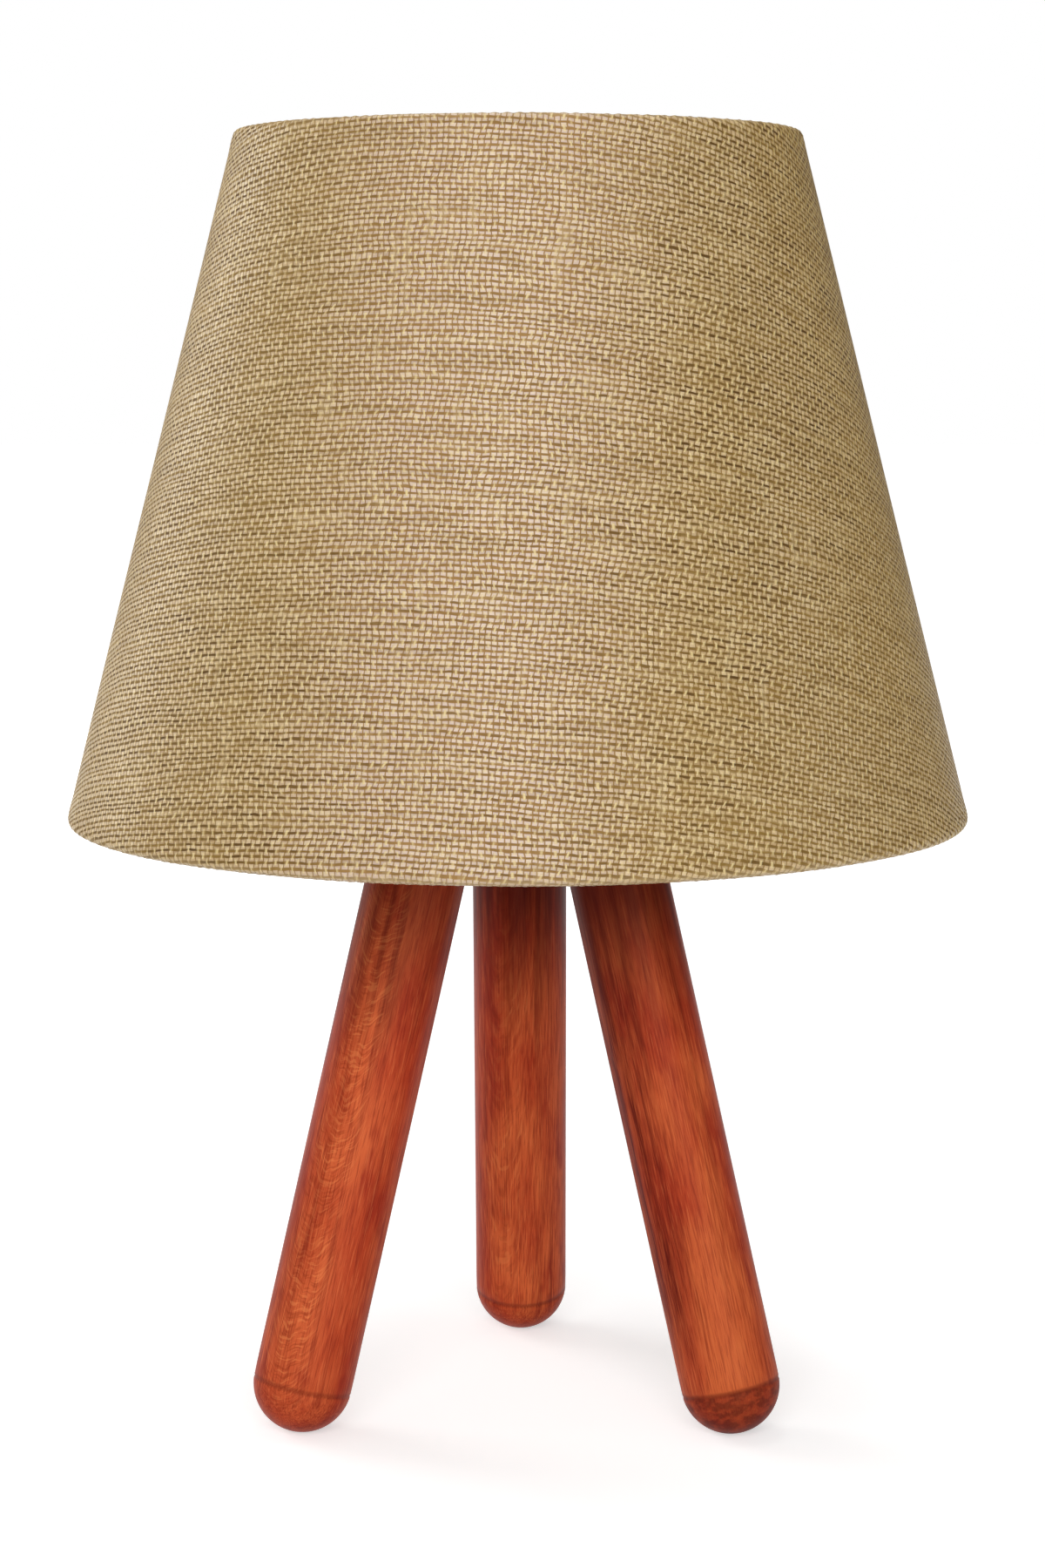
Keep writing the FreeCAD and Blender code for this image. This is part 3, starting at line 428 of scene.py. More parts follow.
        # Painted sheen down the front, on the crowns and between them.
        crown = self.layered(crown, (self.times(self.painted_sheen, 0.85), JUTE["warp_painted_sheen"]),
                             (self.smooth(self.pad_luck, 0.55, 1.0, 0.0, 0.55), JUTE["warp_bright"]))
        between = self.mix(self.times(self.painted_sheen, 0.8), JUTE["between"], JUTE["between_painted_sheen"])
        return self.layered(
            between,
            (self.times(pad, self.plus(0.65, self.times(self.pad_luck, 0.35))), crown),
            (self.smooth(slub, 0.50, 0.64, 0.0, 0.28), JUTE["weft_dull"]),
            (self.smooth(slub, 0.34, 0.44, 0.20, 0.0), JUTE["weft_light"]),
            (self.smooth(stripe, 0.58, 0.70, 0.0, 0.25), JUTE["stripe"]),
            (self.times(self.smooth(stripe, 0.34, 0.46, 1.0, 0.0), self.gap, 0.35), JUTE["warp_gap"]),
            # The warp's crowns, with a painted highlight.
            (self.times(tick_and_highlight, 0.95), JUTE["tick_and_highlight"]),
            (self.times(dash, 0.97), JUTE["dash"]))

    def painted_flank_shade(self, colour):
        """Painted shade: the cloth is tanner round its sides, where less sheen falls on it than at the front."""
        around = self.absolute(self.plus(self.maths("ARCTAN2", self.along, self.down), -CLOTH_TURN))
        return self.mix(self.smooth(around, *FLANK_SHADE_FADE, 0.0, 0.8), colour, JUTE_FLANK_SHADE, "MULTIPLY")

    def pale_folds(self, folds):
        """How pale the cloth is where it folds over the ring wires, at the slant heights given."""
        ragged = self.plus(self.length(self.along, self.down), self.sway(self.streak, 0.0012))
        nearest = self.maths("MINIMUM", *(self.absolute(self.plus(ragged, -fold)) for fold in folds))
        return self.smooth(nearest, 0.0006, 0.0022, 0.45, 0.0)

    def cut_edge(self):
        """Dark line at the back, where one end of the cloth lies over the other."""
        x, y, _ = self.split(self.place)
        line = self.smooth(self.absolute(self.plus(x, self.sway(self.jolt, 0.0012))), 0.0003, 0.0010, 0.55, 0.0)
        return self.times(line, self.maths("GREATER_THAN", y, 0.0))


def woven_cloth(folds):
    f = Weave()
    pad, tick_and_highlight, dash = f.pads(), f.ticks_and_highlights(), f.dashes()
    colour = f.painted_flank_shade(f.yarn_colour(pad, tick_and_highlight, dash))
    colour = f.layered(colour, (f.pale_folds(folds), JUTE["fold_pale"]), (f.cut_edge(), JUTE["cut_edge"]))
    height = f.plus(f.times(pad, 0.55), f.times(tick_and_highlight, 0.9), f.times(dash, -0.7))
    gloss = f.smooth(f.plus(pad, tick_and_highlight), 0.0, 1.0, 0.80, 0.34)
    return f.done(colour, gloss, f.bump(height, YARN_BUMP, 0.8), Specular_IOR_Level=CLOTH_SPECULAR)


# ---------------------------------------------------------------- shade cover
def ring_centre(node):
    """Radius and height of the middle of a ring wire."""
    low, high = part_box(node)
    half = (high.z - low.z) / 2
    return Vector((high.x - half, (high.z + low.z) / 2))


def half_roll(centre, out, up, first, last):
    """Points and normals of half a turn round a wire, pressed nearly square where the wall meets the rim."""
    for index in range(1, ROLL_RINGS):
        angle = first + (last - first) * index / ROLL_RINGS
        reach, steep = Vector((0.0, 0.0)), Vector((0.0, 0.0))
        for axis, part in ((out, math.cos(angle)), (up, math.sin(angle))):
            reach += axis * math.copysign(abs(part) ** (2 / ROLL_SQUARE), part)
            steep += axis * math.copysign(abs(part) ** (2 - 2 / ROLL_SQUARE), part)
        yield centre + reach * ROLL_RADIUS, steep.normalized()


def cloth_line(lower, upper):
    """Middle line of the cloth as (radius and height, normal, wall?), from its lower turned-in end to its upper."""
    up = (upper - lower).normalized()
    out = Vector((up.y, -up.x))
    tuck, reach = up * CLOTH_TUCK, out * ROLL_RADIUS
    points = []

    def straight(start, end, normal, count, wall=False):
        points.extend((start.lerp(end, index / count), normal, wall) for index in range(count + 1))

    straight(lower - reach + tuck, lower - reach, -out, TUCK_RINGS)
    points.extend((*point, False) for point in half_roll(lower, out, up, -math.pi, 0.0))
    straight(lower + reach, upper + reach, out, WALL_RINGS, True)
    points.extend((*point, False) for point in half_roll(upper, out, up, 0.0, math.pi))
    straight(upper - reach, upper - reach - tuck, -out, TUCK_RINGS)
    return points


def yarn_relief(along, down):
    """Height of the yarns at a place on the flat cloth, from -1 to 1."""
    across, rise = along / WARP_PITCH, down / WEFT_PITCH
    column = np.floor(across)
    return np.cos(math.pi * (rise + column)) * np.cos(math.pi * (across - column - 0.5))


def outside_lift(theta, travel, relief):
    """How far the outside of the cloth stands off its middle line, round one ring."""
    many, few = RIPPLE_WAVES
    ripple = RIPPLE * np.sin(theta * many + travel * RIPPLE_TWIST) * np.sin(theta * few + RIPPLE_PHASE)
    over = np.clip((theta - math.pi + SEAM_ANGLE) / (SEAM_RAMP * SEAM_ANGLE), 0.0, 1.0)
    return CLOTH_THICKNESS / 2 - YARN_SINK + relief + ripple + SEAM_LIFT * over


class Cover:
    """Mesh of the shade cloth: rings round the shade on the cloth's outside, and as many on its inside."""

    def __init__(self):
        lower, upper = ring_centre("bottom_ring"), ring_centre("top_ring")
        self.line = cloth_line(lower, upper)
        self.share = math.sin(math.atan2(lower.x - upper.x, upper.y - lower.y))
        self.travel = [0.0]
        for (one, *_), (other, *_) in zip(self.line, self.line[1:]):
            self.travel.append(self.travel[-1] + (other - one).length)
        walls = [index for index, (_, _, wall) in enumerate(self.line) if wall]
        self.first_wall, self.last_wall = walls[0], walls[-1]
        self.reach = self.line[self.first_wall][0].x / self.share + self.travel[self.first_wall]
        self.verts, self.faces, self.flats, self.bakes, self.rings = [], [], [], [], []

    def slant(self, index):
        return self.reach - self.travel[index]

    def flat(self, index, theta):
        """Place on the flat cloth. Its distance from the origin is the slant height of the cone."""
        angle = theta * self.share + CLOTH_TURN
        return self.slant(index) * np.sin(angle), self.slant(index) * np.cos(angle)

    def add_ring(self, index, side):
        """One ring of vertices, on the outside (side 1) or the inside (side -1) of the middle line."""
        point, normal, _ = self.line[index]
        hem = side > 0 and not self.first_wall < index < self.last_wall
        steps = HEM_STEPS if hem else WALL_STEPS
        theta = np.arange(steps) * 2 * math.pi / steps - math.pi
        lift = np.full(steps, -CLOTH_THICKNESS / 2)
        if side > 0:
            relief = YARN_RELIEF * yarn_relief(*self.flat(index, theta)) if hem else 0.0
            lift = outside_lift(theta, self.travel[index], relief)
        self.rings.append((len(self.verts), steps))
        for radius, height, angle in zip(point.x + normal.x * lift, point.y + normal.y * lift, theta):
            self.verts.append((radius * math.sin(angle), -radius * math.cos(angle), height))

    def bake_place(self, ring, step, right):
        """Place on the bake map: the outside's halves as two rows, and the inside's as thin strips above them."""
        count = len(self.line)
        turn = 2 * step / self.rings[ring][1] - right
        up = self.travel[ring % count] / self.travel[-1]
        if ring < count:
            row = (1 - 2 * INSIDE_SHARE) / 2
            return turn, row * (right + OUTSIDE_MARGIN + (1 - 2 * OUTSIDE_MARGIN) * up)
        return turn, 1 - INSIDE_SHARE * (1 + right - INSIDE_MARGIN - (1 - 2 * INSIDE_MARGIN) * up)

    def add_band(self, here, there):
        """Faces between two rings, where one may have more steps than the other."""
        few, many = sorted((here, there), key=lambda ring: self.rings[ring][1])
        ratio = self.rings[many][1] // self.rings[few][1]
        for step in range(self.rings[few][1]):
            right = 2 * step // self.rings[few][1]
            loop = [(few, step), (few, step + 1)] + [(many, (step + 1) * ratio - index) for index in range(ratio + 1)]
            if few == there:
                loop.reverse()
            self.faces.append([self.rings[ring][0] + place % self.rings[ring][1] for ring, place in loop])
            for ring, place in loop:
                theta = place * 2 * math.pi / self.rings[ring][1] - math.pi
                self.flats.append(self.flat(ring % len(self.line), theta))
                self.bakes.append(self.bake_place(ring, place, right))

    def folds(self):
        """Slant heights of the folds over the lower and the upper wire."""
        return self.slant(self.first_wall) + PALE_FOLD, self.slant(self.last_wall) - PALE_FOLD


def make_cover():
    """Shade cloth: a cone over both ring wires, rolled over them and turned in."""
    cover = Cover()
    count = len(cover.line)
    for side in (1, -1):
        for index in range(count):
            cover.add_ring(index, side)
    order = list(range(count)) + list(range(2 * count - 1, count - 1, -1))
    for here, there in zip(order, order[1:] + order[:1]):
        cover.add_band(here, there)
    return build("shade_cover", cover.verts, cover.faces, "shade", ["shade_fabric"],
                 woven_cloth(cover.folds()), {"Weave": cover.flats, "OFBake": cover.bakes})


# ---------------------------------------------------------------- pieces
def build(name, verts, faces, body, replaces, material, maps=None, placement=None):
    """Smooth mesh piece that rides on a body and stands for the CAD nodes named."""
    mesh = bpy.data.meshes.new(name)
    mesh.from_pydata([tuple(vert) for vert in verts], [], faces)
    for title, values in (maps or {}).items():
        layer = mesh.uv_layers.new(name=title)
        layer.data.foreach_set("uv", np.array(values, np.float32).ravel())
    mesh.polygons.foreach_set("use_smooth", np.ones(len(mesh.polygons), bool))
    mesh.materials.append(material)
    mesh.update()
    piece = bpy.data.objects.new(name, mesh)
    bpy.context.scene.collection.objects.link(piece)
    if placement:
        piece.matrix_world = placement
    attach(piece, body)
    if replaces:
        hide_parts(*replaces)
    return piece


def lathe(profile, sides, pitch=1.0):
    """Vertices and faces of a closed profile turned about Z.

    Points are (radius, height), where ends may lie on the axis, or (radius, height, depth) on a thread.
    """
    verts, rings = [], []
    for radius, height, *depth in profile:
        turns = sides if radius > 1e-9 else 1
        rings.append((len(verts), turns))
        for index in range(turns):
            angle = 2 * math.pi * index / turns
            cut = depth[0] * (0.5 - 0.5 * math.cos(2 * math.pi * height / pitch - angle)) if depth else 0.0
            verts.append(((radius - cut) * math.cos(angle), (radius - cut) * math.sin(angle), height))
    faces = []
    for (one, one_turns), (other, other_turns) in zip(rings, rings[1:] + rings[:1]):
        if one_turns == 1 and other_turns == 1:
            continue
        for index in range(sides):
            after = (index + 1) % sides
            loop = [one + index % one_turns, one + after % one_turns, other + after % other_turns,
                    other + index % other_turns]
            faces.append(list(dict.fromkeys(loop)))
    return verts, faces


def threaded(radius, low, high, thread):
    """Profile points of a thread cut into a cylinder, fading in over its first and last turn."""
    count = round((high - low) / thread.pitch * thread.rings_per_turn)
    points = []
    for index in range(count + 1):
        share = index / count
        turns = min(share, 1 - share) * count / thread.rings_per_turn
        points.append((radius, low + (high - low) * share, thread.depth * min(1.0, turns)))
    return points


def make_skirt(finish):
    """Upper half of the lampholder: collar with eased edges, and the threaded sleeve."""
    low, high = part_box("holder_skirt")
    rim, collar_top = high.z, high.z - SLEEVE_HEIGHT
    collar_low = collar_top - COLLAR_HEIGHT
    profile = [(SLEEVE_BORE, low.z), (TAIL_RADIUS, low.z), (TAIL_RADIUS, collar_low),
               (COLLAR_RADIUS - EASED_EDGE, collar_low), (COLLAR_RADIUS, collar_low + EASED_EDGE),
               (COLLAR_RADIUS, collar_top - EASED_EDGE), (COLLAR_RADIUS - EASED_EDGE, collar_top),
               (SLEEVE_RADIUS, collar_top)]
    profile += threaded(SLEEVE_RADIUS, collar_top + EASED_EDGE, rim - RIM_CHAMFER, SLEEVE_THREAD)
    profile += [(SLEEVE_RADIUS - RIM_CHAMFER, rim), (RIM_OPENING + EASED_EDGE, rim), (RIM_OPENING, rim - EASED_EDGE),
                (RIM_OPENING, rim - RIM_THICKNESS), (SLEEVE_BORE, rim - RIM_THICKNESS)]
    verts, faces = lathe(profile, SLEEVE_SIDES, SLEEVE_THREAD.pitch)
    build("holder_skirt_turned", verts, faces, "base", ["holder_skirt"], finish)


def make_bulb_cap(finish):
    """Screw cap of the bulb, rolled from thin metal, with its rounded thread."""
    low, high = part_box("bulb_cap")
    tip = high.z - CAP_HEIGHT
    inside = CAP_NECK_RADIUS - CAP_WALL
    profile = [(CAP_FOOT_RADIUS - CAP_WALL, low.z), (CAP_FOOT_RADIUS, low.z)]
    profile += threaded(CAP_THREAD_RADIUS, tip + CAP_THREAD_LOW, tip + CAP_THREAD_HIGH, CAP_THREAD)
    profile += [(CAP_NECK_RADIUS, tip + CAP_NECK_LOW), (CAP_NECK_RADIUS, tip + CAP_NECK_HIGH),
                (CAP_FLANGE_RADIUS, tip + CAP_FLANGE_LOW), (CAP_FLANGE_RADIUS, high.z), (inside, high.z),
                (inside, tip + CAP_NECK_LOW), (inside, tip + CAP_INSIDE_LOW)]
    verts, faces = lathe(profile, CAP_SIDES, CAP_THREAD.pitch)
    build("bulb_cap_rolled", verts, faces, "bulb", ["bulb_cap"], finish)


def screw_mesh(head):
    """Countersunk wood screw with a cross recess and a coarse thread, its head's top at that height."""
    end = head - SCREW_LENGTH
    profile = [(0.0, end)]
    profile += threaded(SCREW_SHANK_RADIUS, end + SCREW_POINT, head - SCREW_PLAIN, SCREW_THREAD)
    profile += [(SCREW_SHANK_RADIUS, head - SCREW_HEAD_HEIGHT), (SCREW_HEAD_RADIUS, head - SCREW_EDGE),
                (SCREW_HEAD_RADIUS - SCREW_EDGE, head)]
    profile += [(SCREW_HEAD_RADIUS * index / CROWN_RINGS, head) for index in reversed(range(CROWN_RINGS))]
    verts, faces = lathe(profile, SCREW_SIDES, SCREW_THREAD.pitch)
    sunk = []
    for x, y, z in verts:
        near, far = sorted((abs(x), abs(y)))
        recess = near < RECESS_HALF_WIDTH and far < RECESS_REACH and z > head - SCREW_EDGE / 2
        sunk.append((x, y, z - RECESS_DEPTH if recess else z))
    return sunk, faces


def make_screws(finish, placements):
    """One screw in each leg."""
    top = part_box("hub")[1].z
    for number, placement in enumerate(placements):
        verts, faces = screw_mesh((top - placement.translation.z) / math.cos(LEG_LEAN) - SCREW_SINK)
        build(f"leg_screw_{number + 1}", verts, faces, "base", [] if number else ["leg_screws"],
              finish, placement=placement)


# ---------------------------------------------------------------- wood
class Beech(Finish):
    """Satin red-brown stain over beech, its grain along Z in the space of its own object.

    face is the angle at which the growth rings lie flat in the surface, where tilt turns them into nested points.
    A board's grain runs along X instead.
    """

    def __init__(self, name, face, tilt, seed, board=False):
        super().__init__(name)
        self.seed = seed
        x, y, z = self.split(self.place)
        self.x, self.y, self.z = (y, z, x) if board else (x, y, z)
        self.toward = self.facing(face)
        self.beside = self.facing(face + math.pi / 2)
        self.bend = self.grain(160.0, 60.0, 0.0, 2.0)
        self.fibre = self.grain(3000.0, 130.0, 0.0, 3.0, 0.6)
        self.blush = self.grain(130.0, 48.0, 13.0, 3.0, 0.6)
        self.streak = self.grain(420.0, 17.0, 4.0, 3.0)
        self.cloud = self.grain(70.0, 30.0, 9.0, 3.0)
        growth = self.plus(self.toward, self.times(self.z, tilt), self.sway(self.bend, 0.0012))
        self.rings = self.noise(self.join(self.times(growth, 1700.0), self.times(self.beside, 80.0), seed), 3.0, 0.6)

    def facing(self, angle):
        """How far a place lies from the leg's axis towards an angle."""
        return self.plus(self.times(self.x, math.cos(angle)), self.times(self.y, math.sin(angle)))

    def grain(self, across, lengthwise, offset, detail, roughness=0.5):
        """Noise drawn out along the grain, in waves per metre across it and along it."""
        height = self.plus(self.times(self.z, lengthwise), self.seed + offset)
        return self.noise(self.join(self.times(self.x, across), self.times(self.y, across), height),
                          detail, roughness)

    def stain(self):
        colour = self.mix(self.smooth(self.cloud, 0.28, 0.72), STAIN["deep"], STAIN["light"])
        return self.layered(
            colour,
            (self.smooth(self.blush, 0.52, 0.68, 0.0, 0.60), STAIN["blush"]),
            (self.smooth(self.rings, 0.46, 0.66, 0.0, 0.30), STAIN["ring"]),
            (self.smooth(self.rings, 0.32, 0.44, 0.18, 0.0), STAIN["ring_pale"]),
            (self.smooth(self.streak, 0.52, 0.70, 0.0, 0.45), STAIN["streak"]),
            (self.smooth(self.fibre, 0.50, 0.62, 0.0, 0.46), STAIN["pore"]),
            (self.smooth(self.fibre, 0.34, 0.44, 0.32, 0.0), STAIN["fibre_pale"]))

    def curls(self, colour, strength, tilt, reach):
        """Light nested lines where the rings lie flat in the surface, beyond reach times the leg's radius."""
        curled = self.plus(self.toward, self.times(self.z, tilt), self.sway(self.bend, 0.0012 + 0.004 * tilt))
        height = self.plus(self.times(self.z, 130.0), self.seed)
        lines = self.noise(self.join(self.times(curled, 5200.0), self.times(self.beside, 300.0), height), 1.0)
        on_face = self.times(self.smooth(self.toward, reach * LEG_RADIUS, 0.97 * LEG_RADIUS), strength)
        dark = self.times(self.smooth(lines, 0.34, 0.44, 1.0, 0.0), on_face, 0.40)
        light = self.times(self.smooth(lines, 0.56, 0.64), on_face,
                           self.smooth(self.cloud, 0.40, 0.60, 0.25, 1.0), 0.45)
        return self.layered(colour, (dark, STAIN["curl_dark"]), (light, STAIN["curl_pale"]))

    # Painted shade: one side of the leg darker, turned from the light, broken up by the grain.
    def painted_shade_side(self, colour, angle, strength):
        side = self.plus(self.facing(angle), self.sway(self.bend, 0.008))
        lengthwise = self.times(self.smooth(self.z, 0.0, 0.03), self.smooth(self.z, 0.08, 0.12, 1.0, 0.25))
        dim = self.times(self.smooth(side, 0.35 * LEG_RADIUS, LEG_RADIUS), lengthwise, strength,
                         self.smooth(self.streak, 0.35, 0.60, 0.35, 1.0),
                         self.smooth(self.fibre, 0.36, 0.60, 0.55, 1.0))
        return self.mix(dim, colour, STAIN["painted_shade_side"])

    # Painted light: one side of the leg paler, facing the light.
    def painted_light_side(self, colour, angle, strength):
        side = self.plus(self.facing(angle), self.sway(self.cloud, 0.010))
        lit = self.times(self.smooth(side, 0.72 * LEG_RADIUS, 1.05 * LEG_RADIUS), strength,
                         self.smooth(self.fibre, 0.40, 0.62, 1.0, 0.45))
        return self.mix(lit, colour, STAIN["painted_light_side"])

    # Darker towards the top: the lamp shade's shadow painted on the leg, with some darker stain.
    def stain_and_painted_shadow_top(self, colour, strength):
        high = self.plus(self.z, self.sway(self.streak, 0.05))
        return self.mix(self.smooth(high, 0.46 * LEG_LENGTH, 0.80 * LEG_LENGTH, 0.0, strength), colour, STAIN["top"])

    def domed_foot(self, colour, strength):
        """Dark mottled end grain below the leg's lowest ring, with an even darker line where it begins, and orange
        flecks painted in as glints.
        """
        edge = self.plus(self.z, self.sway(self.fibre, 0.0012))
        pores = self.patches(self.place, (260.0, 260.0, 420.0), (self.seed, 0.0, 0.0), 3.0, 0.6)
        foot = self.times(self.smooth(edge, -0.0010, 0.0006, 1.0, 0.0), strength)
        return self.layered(
            colour,
            (foot, self.mix(self.smooth(pores, 0.42, 0.58), STAIN["end_dark"], STAIN["end_brown"])),
            (self.times(foot, self.smooth(pores, 0.60, 0.68), 0.6), STAIN["end_painted_glint"]),
            (self.smooth(self.absolute(self.plus(edge, 0.0004)), 0.0002, 0.0010, 0.35, 0.0), STAIN["foot_edge"]))

    def satin(self, colour, tone=1.0):
        height = self.plus(self.times(self.fibre, 0.5), self.times(self.rings, 0.3))
        return self.done(self.vector("MULTIPLY", colour, (tone, tone, tone)),
                         self.smooth(self.cloud, 0.2, 0.8, 0.38, 0.50), self.bump(height, WOOD_BUMP, 0.4),
                         Specular_IOR_Level=WOOD_SPECULAR)


# face is in degrees round the leg. curls are (strength, tilt, reach), and the sides of painted shade and painted
# light are (degrees, strength). top is the strength of the lamp shade's painted shadow, with darker stain, towards
# the leg's top.
LEG_LOOKS = {
    "leg_left": dict(name="beech_left", face=32, tilt=0.055, seed=3.0, curls=(0.9, 0.28, 0.76),
                     painted_shade_side=(-20, 0.35), painted_light_side=(35, 0.08), top=0.55, dome=0.05, tone=0.98),
    "leg_right": dict(name="beech_right", face=-150, tilt=0.020, seed=31.0, curls=(0.3, 0.02, 0.4),
                      painted_shade_side=(-125, 1.0), painted_light_side=(-48, 0.50), top=0.90, dome=0.80, tone=0.90),
    "leg_rear": dict(name="beech_rear", face=156, tilt=0.067, seed=77.0, curls=(0.8, 0.067, 0.4),
                     painted_shade_side=(110, 0.3), painted_light_side=(170, 0.30), top=1.0, dome=0.20, tone=1.06)}


def leg_wood(name, face, tilt, seed, curls, painted_shade_side, painted_light_side, top, dome, tone):
    f = Beech(name, math.radians(face), tilt, seed)
    colour = f.curls(f.stain(), *curls)
    # Painted shade on one side and painted light on another, then the shade's painted shadow towards the top.
    colour = f.painted_shade_side(colour, math.radians(painted_shade_side[0]), painted_shade_side[1])
    colour = f.painted_light_side(colour, math.radians(painted_light_side[0]), painted_light_side[1])
    colour = f.domed_foot(f.stain_and_painted_shadow_top(colour, top), dome)
    return f.satin(colour, tone)


def hub_wood():
    f = Beech("turned_beech", math.radians(80), 0.03, 12.0, board=True)
    return f.satin(f.stain())


def leg_profile():
    """Half section of a leg: domed foot and its groove at the bottom, small chamfer at the top."""
    rim = math.asin(LEG_RADIUS / DOME_RADIUS)
    angles = [rim * index / DOME_RINGS for index in range(DOME_RINGS)]
    profile = [(DOME_RADIUS * math.sin(angle), -DOME_RADIUS * math.cos(angle)) for angle in angles]
    start, top = -DOME_RADIUS * math.cos(rim), LEG_LENGTH - DOME_RADIUS
    low, high = start + 2 * FOOT_GROOVE, top - LEG_TOP_CHAMFER
    profile += [(LEG_RADIUS - FOOT_GROOVE, start), (LEG_RADIUS - FOOT_GROOVE * GROOVE_STEP, start + FOOT_GROOVE)]
    profile += [(LEG_RADIUS, low + (high - low) * (index + 1) / LEG_RINGS) for index in range(LEG_RINGS)]
    profile += [(LEG_RADIUS - LEG_TOP_CHAMFER, top), (0.0, top)]
    return profile


def leg_placement(mount):
    """Leg space to lamp space: its origin is the centre of the foot's dome, and its Z runs up the leg."""
    foot = Vector(mount["pos_m"])
    azimuth = math.atan2(foot.y, foot.x)
    return (Matrix.Translation((foot.x, foot.y, DOME_RADIUS - FOOT_FLAT_DEPTH))
            @ Matrix.Rotation(azimuth, 4, "Z") @ Matrix.Rotation(-LEG_LEAN, 4, "Y"))


def make_leg(node, placement, material):
    """One leg, its dome flattened where it stands on the floor."""
    verts, faces = lathe(leg_profile(), LEG_SIDES)
    back = placement.inverted()
    stood = []
    for vert in verts:
        world = placement @ Vector(vert)
        world.z = max(world.z, 0.0)
        stood.append(back @ world)
    build(node + "_wood", stood, faces, "base", [node], material, placement=placement)


def make_legs():
    """The three legs. Returns their placements."""
    mounts = {mount["name"]: mount for mount in frame["record"]["mounts"]}
    placements = {node: leg_placement(mounts[foot]) for node, foot in LEGS.items()}
    for node, placement in placements.items():
        make_leg(node, placement, leg_wood(**LEG_LOOKS[node]))
    return list(placements.values())


# ---------------------------------------------------------------- other finishes
def plain_finish(name, colour, other, roughness, scale, metal):
    """Moulded or coated surface: fine mottling, a soft grain and slight changes of gloss."""
    f = Finish(name)
    mottle = f.noise(f.place, 4.0, 0.6, scale)
    grain = f.noise(f.place, 2.0, 0.5, scale * GRAINS_PER_MOTTLE)
    tint = f.mix(f.smooth(mottle, 0.3, 0.7), linear(*colour), linear(*other))
    gloss = f.smooth(mottle, 0.25, 0.75, roughness * (1 - PLAIN_GLOSS_SPREAD), roughness * (1 + PLAIN_GLOSS_SPREAD))
    return f.done(tint, gloss, f.bump(grain, PLAIN_BUMP, 0.5), Metallic=1.0 if metal else 0.0)


def lined_film():
    """Stiff white film inside the shade. The weave that it is glued to shows through as a faint grid, in slight
    relief and in painted shade.
    """
    f = Finish("liner_film")
    x, y, z = f.split(f.place)
    mottle = f.noise(f.place, 3.0, 0.5, 220.0)
    waver = f.times(mottle, 2.0)
    round_shade = f.times(f.maths("ARCTAN2", x, y), 2 * math.pi * LINER_RADIUS / WARP_PITCH)
    warp = f.maths("SINE", f.plus(round_shade, waver))
    weft = f.maths("SINE", f.plus(f.times(z, 2 * math.pi / WEFT_PITCH), waver))
    grid = f.times(f.plus(warp, 1.0), f.plus(weft, 1.0), 0.25)
    colour = f.mix(f.smooth(mottle, 0.3, 0.7), FILM["white"], FILM["cream"])
    colour = f.mix(f.times(grid, 0.5), colour, FILM["shadow"])
    return f.done(colour, f.smooth(mottle, 0.3, 0.7, 0.45, 0.60), f.bump(grid, FILM_BUMP, 0.5))


def dress_nodes():
    """Give each carried-over CAD node the finish of its slot. Returns the finishes."""
    finishes = {slot: plain_finish(slot, *values) for slot, values in PLAIN_FINISHES.items()}
    finishes["stained_hub"] = hub_wood()
    finishes["liner_film"] = lined_film()
    for part in frame["record"]["subparts"]:
        slot = part["material_slot"]
        if slot in finishes:
            node = frame["nodes"][part["node"]]
            node.data.materials.clear()
            node.data.materials.append(finishes[slot])
    return finishes


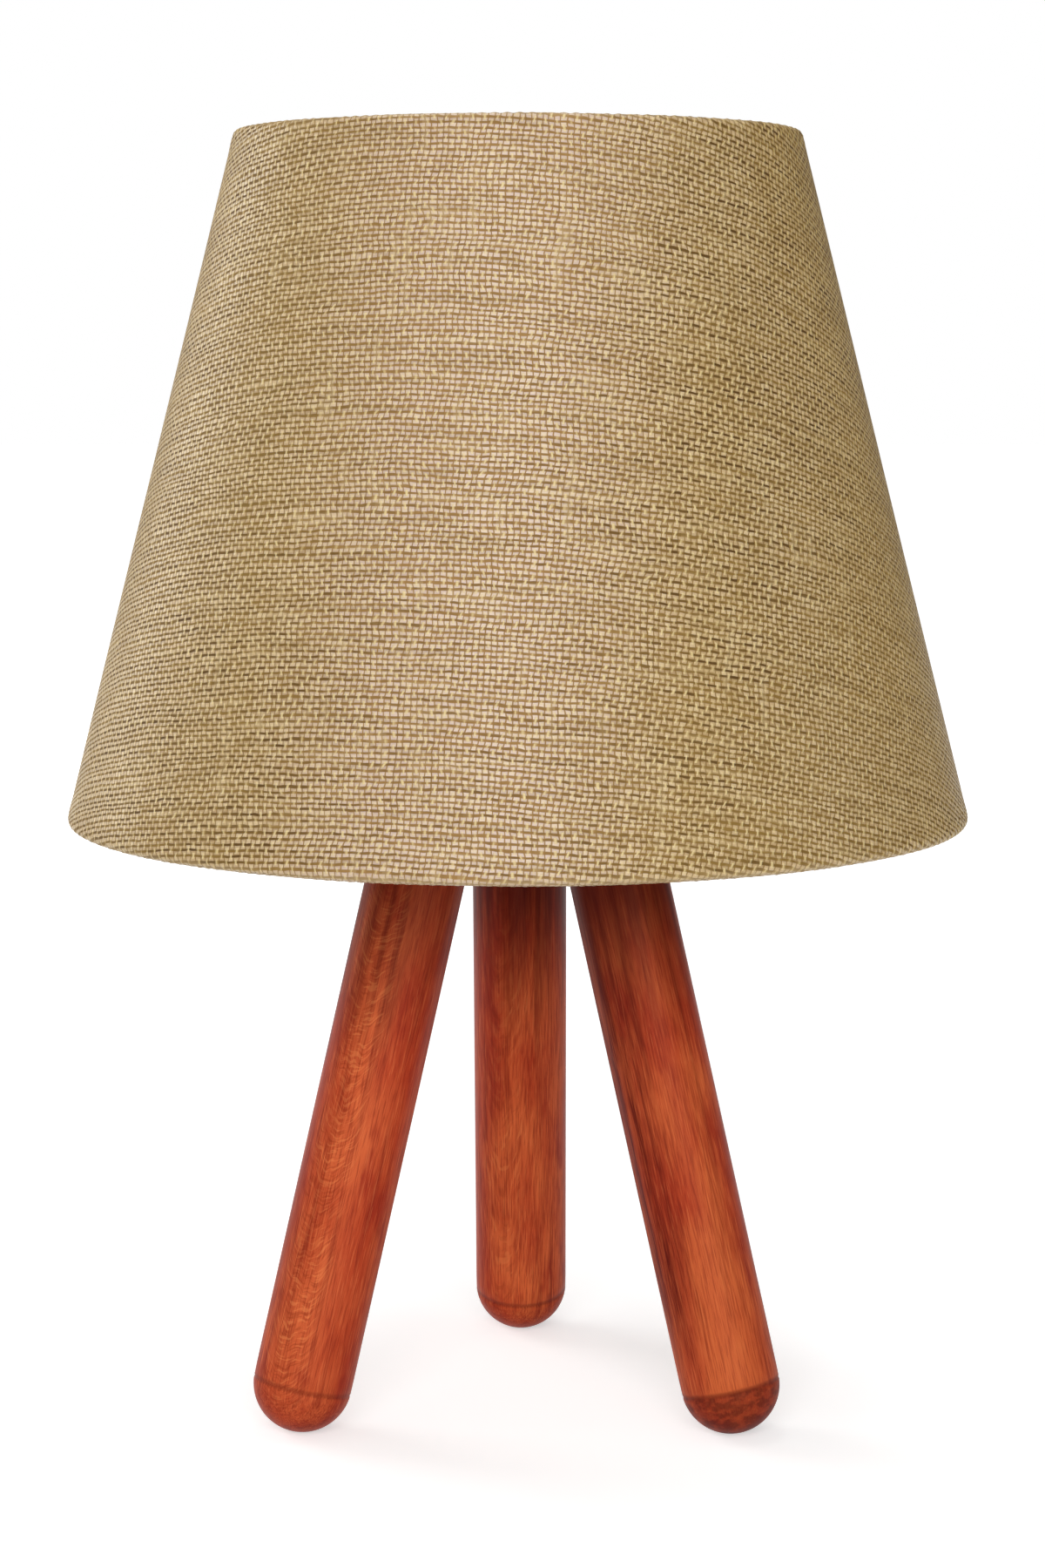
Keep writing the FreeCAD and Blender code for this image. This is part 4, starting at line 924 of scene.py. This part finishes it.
# ---------------------------------------------------------------- studio
def make_floor():
    """Pale floor with a glow for the camera, reflections and glass alone, weaker round the lamp than far away."""
    mesh = bpy.data.meshes.new("floor")
    mesh.from_pydata(FLOOR_CORNERS, [], [(0, 1, 2, 3)])
    floor = bpy.data.objects.new("floor", mesh)
    bpy.context.scene.collection.objects.link(floor)
    f = Finish("studio_floor")
    f.put(f.shader.inputs["Base Color"], FLOOR_COLOUR)
    f.put(f.shader.inputs["Roughness"], FLOOR_ROUGHNESS)
    rays = f.node("ShaderNodeLightPath").outputs
    seen = f.maths("MAXIMUM", rays["Is Camera Ray"], rays["Is Glossy Ray"])
    seen = f.maths("MAXIMUM", seen, rays["Is Transmission Ray"])
    x, y, _ = f.split(f.place)
    strength = f.times(seen, f.smooth(f.length(x, y), *FLOOR_GLOW_REACH, *FLOOR_GLOW))
    glow = f.node("ShaderNodeEmission", (WHITE, strength))
    both = f.node("ShaderNodeAddShader", (f.shader.outputs[0], glow.outputs[0]))
    f.put(f.tree.nodes["Material Output"].inputs["Surface"], both.outputs[0])
    floor.data.materials.append(f.material)


def make_world():
    """Soft light from all round, brighter from the left. The camera sees plain white there, also through glass."""
    world = bpy.data.worlds.new("studio")
    bpy.context.scene.world = world
    world.use_nodes = True
    w = Nodes(world.node_tree)
    background = w.tree.nodes["Background"]
    rays = w.node("ShaderNodeLightPath").outputs
    seen = w.maths("MAXIMUM", rays["Is Camera Ray"], rays["Is Transmission Ray"])
    across = w.split(w.node("ShaderNodeTexCoord").outputs["Generated"])["X"]
    light = w.ramp(across, -1.0, 1.0, WORLD_LEFT, WORLD_RIGHT)
    w.put(background.inputs["Color"], WHITE)
    w.put(background.inputs["Strength"], w.ramp(seen, 0.0, 1.0, light, 1.0))


def make_lights():
    for name, (place, target, size, watts) in LIGHTS.items():
        data = bpy.data.lights.new(name, "AREA")
        data.shape = "SQUARE"
        data.size = size
        data.energy = watts
        light = bpy.data.objects.new(name, data)
        light.location = place
        light.rotation_mode = "QUATERNION"
        light.rotation_quaternion = (Vector(target) - Vector(place)).to_track_quat("-Z", "Y")
        bpy.context.scene.collection.objects.link(light)


def make_camera():
    data = bpy.data.cameras.new("camera")
    data.sensor_width = SENSOR
    data.lens = FOCAL_PIXELS * SENSOR / PHOTO_HEIGHT
    camera = bpy.data.objects.new("camera", data)
    camera.location = CAMERA_PLACE
    camera.rotation_euler = (math.pi / 2 - CAMERA_PITCH, 0.0, CAMERA_YAW)
    bpy.context.scene.collection.objects.link(camera)
    bpy.context.scene.camera = camera


finishes = dress_nodes()
cover = make_cover()
leg_placements = make_legs()
make_screws(finishes["zinc_steel"], leg_placements)
make_skirt(finishes["white_plastic"])
make_bulb_cap(finishes["nickel_shell"])
make_floor()
make_world()
make_lights()
make_camera()
bpy.context.scene.view_settings.view_transform = "Standard"
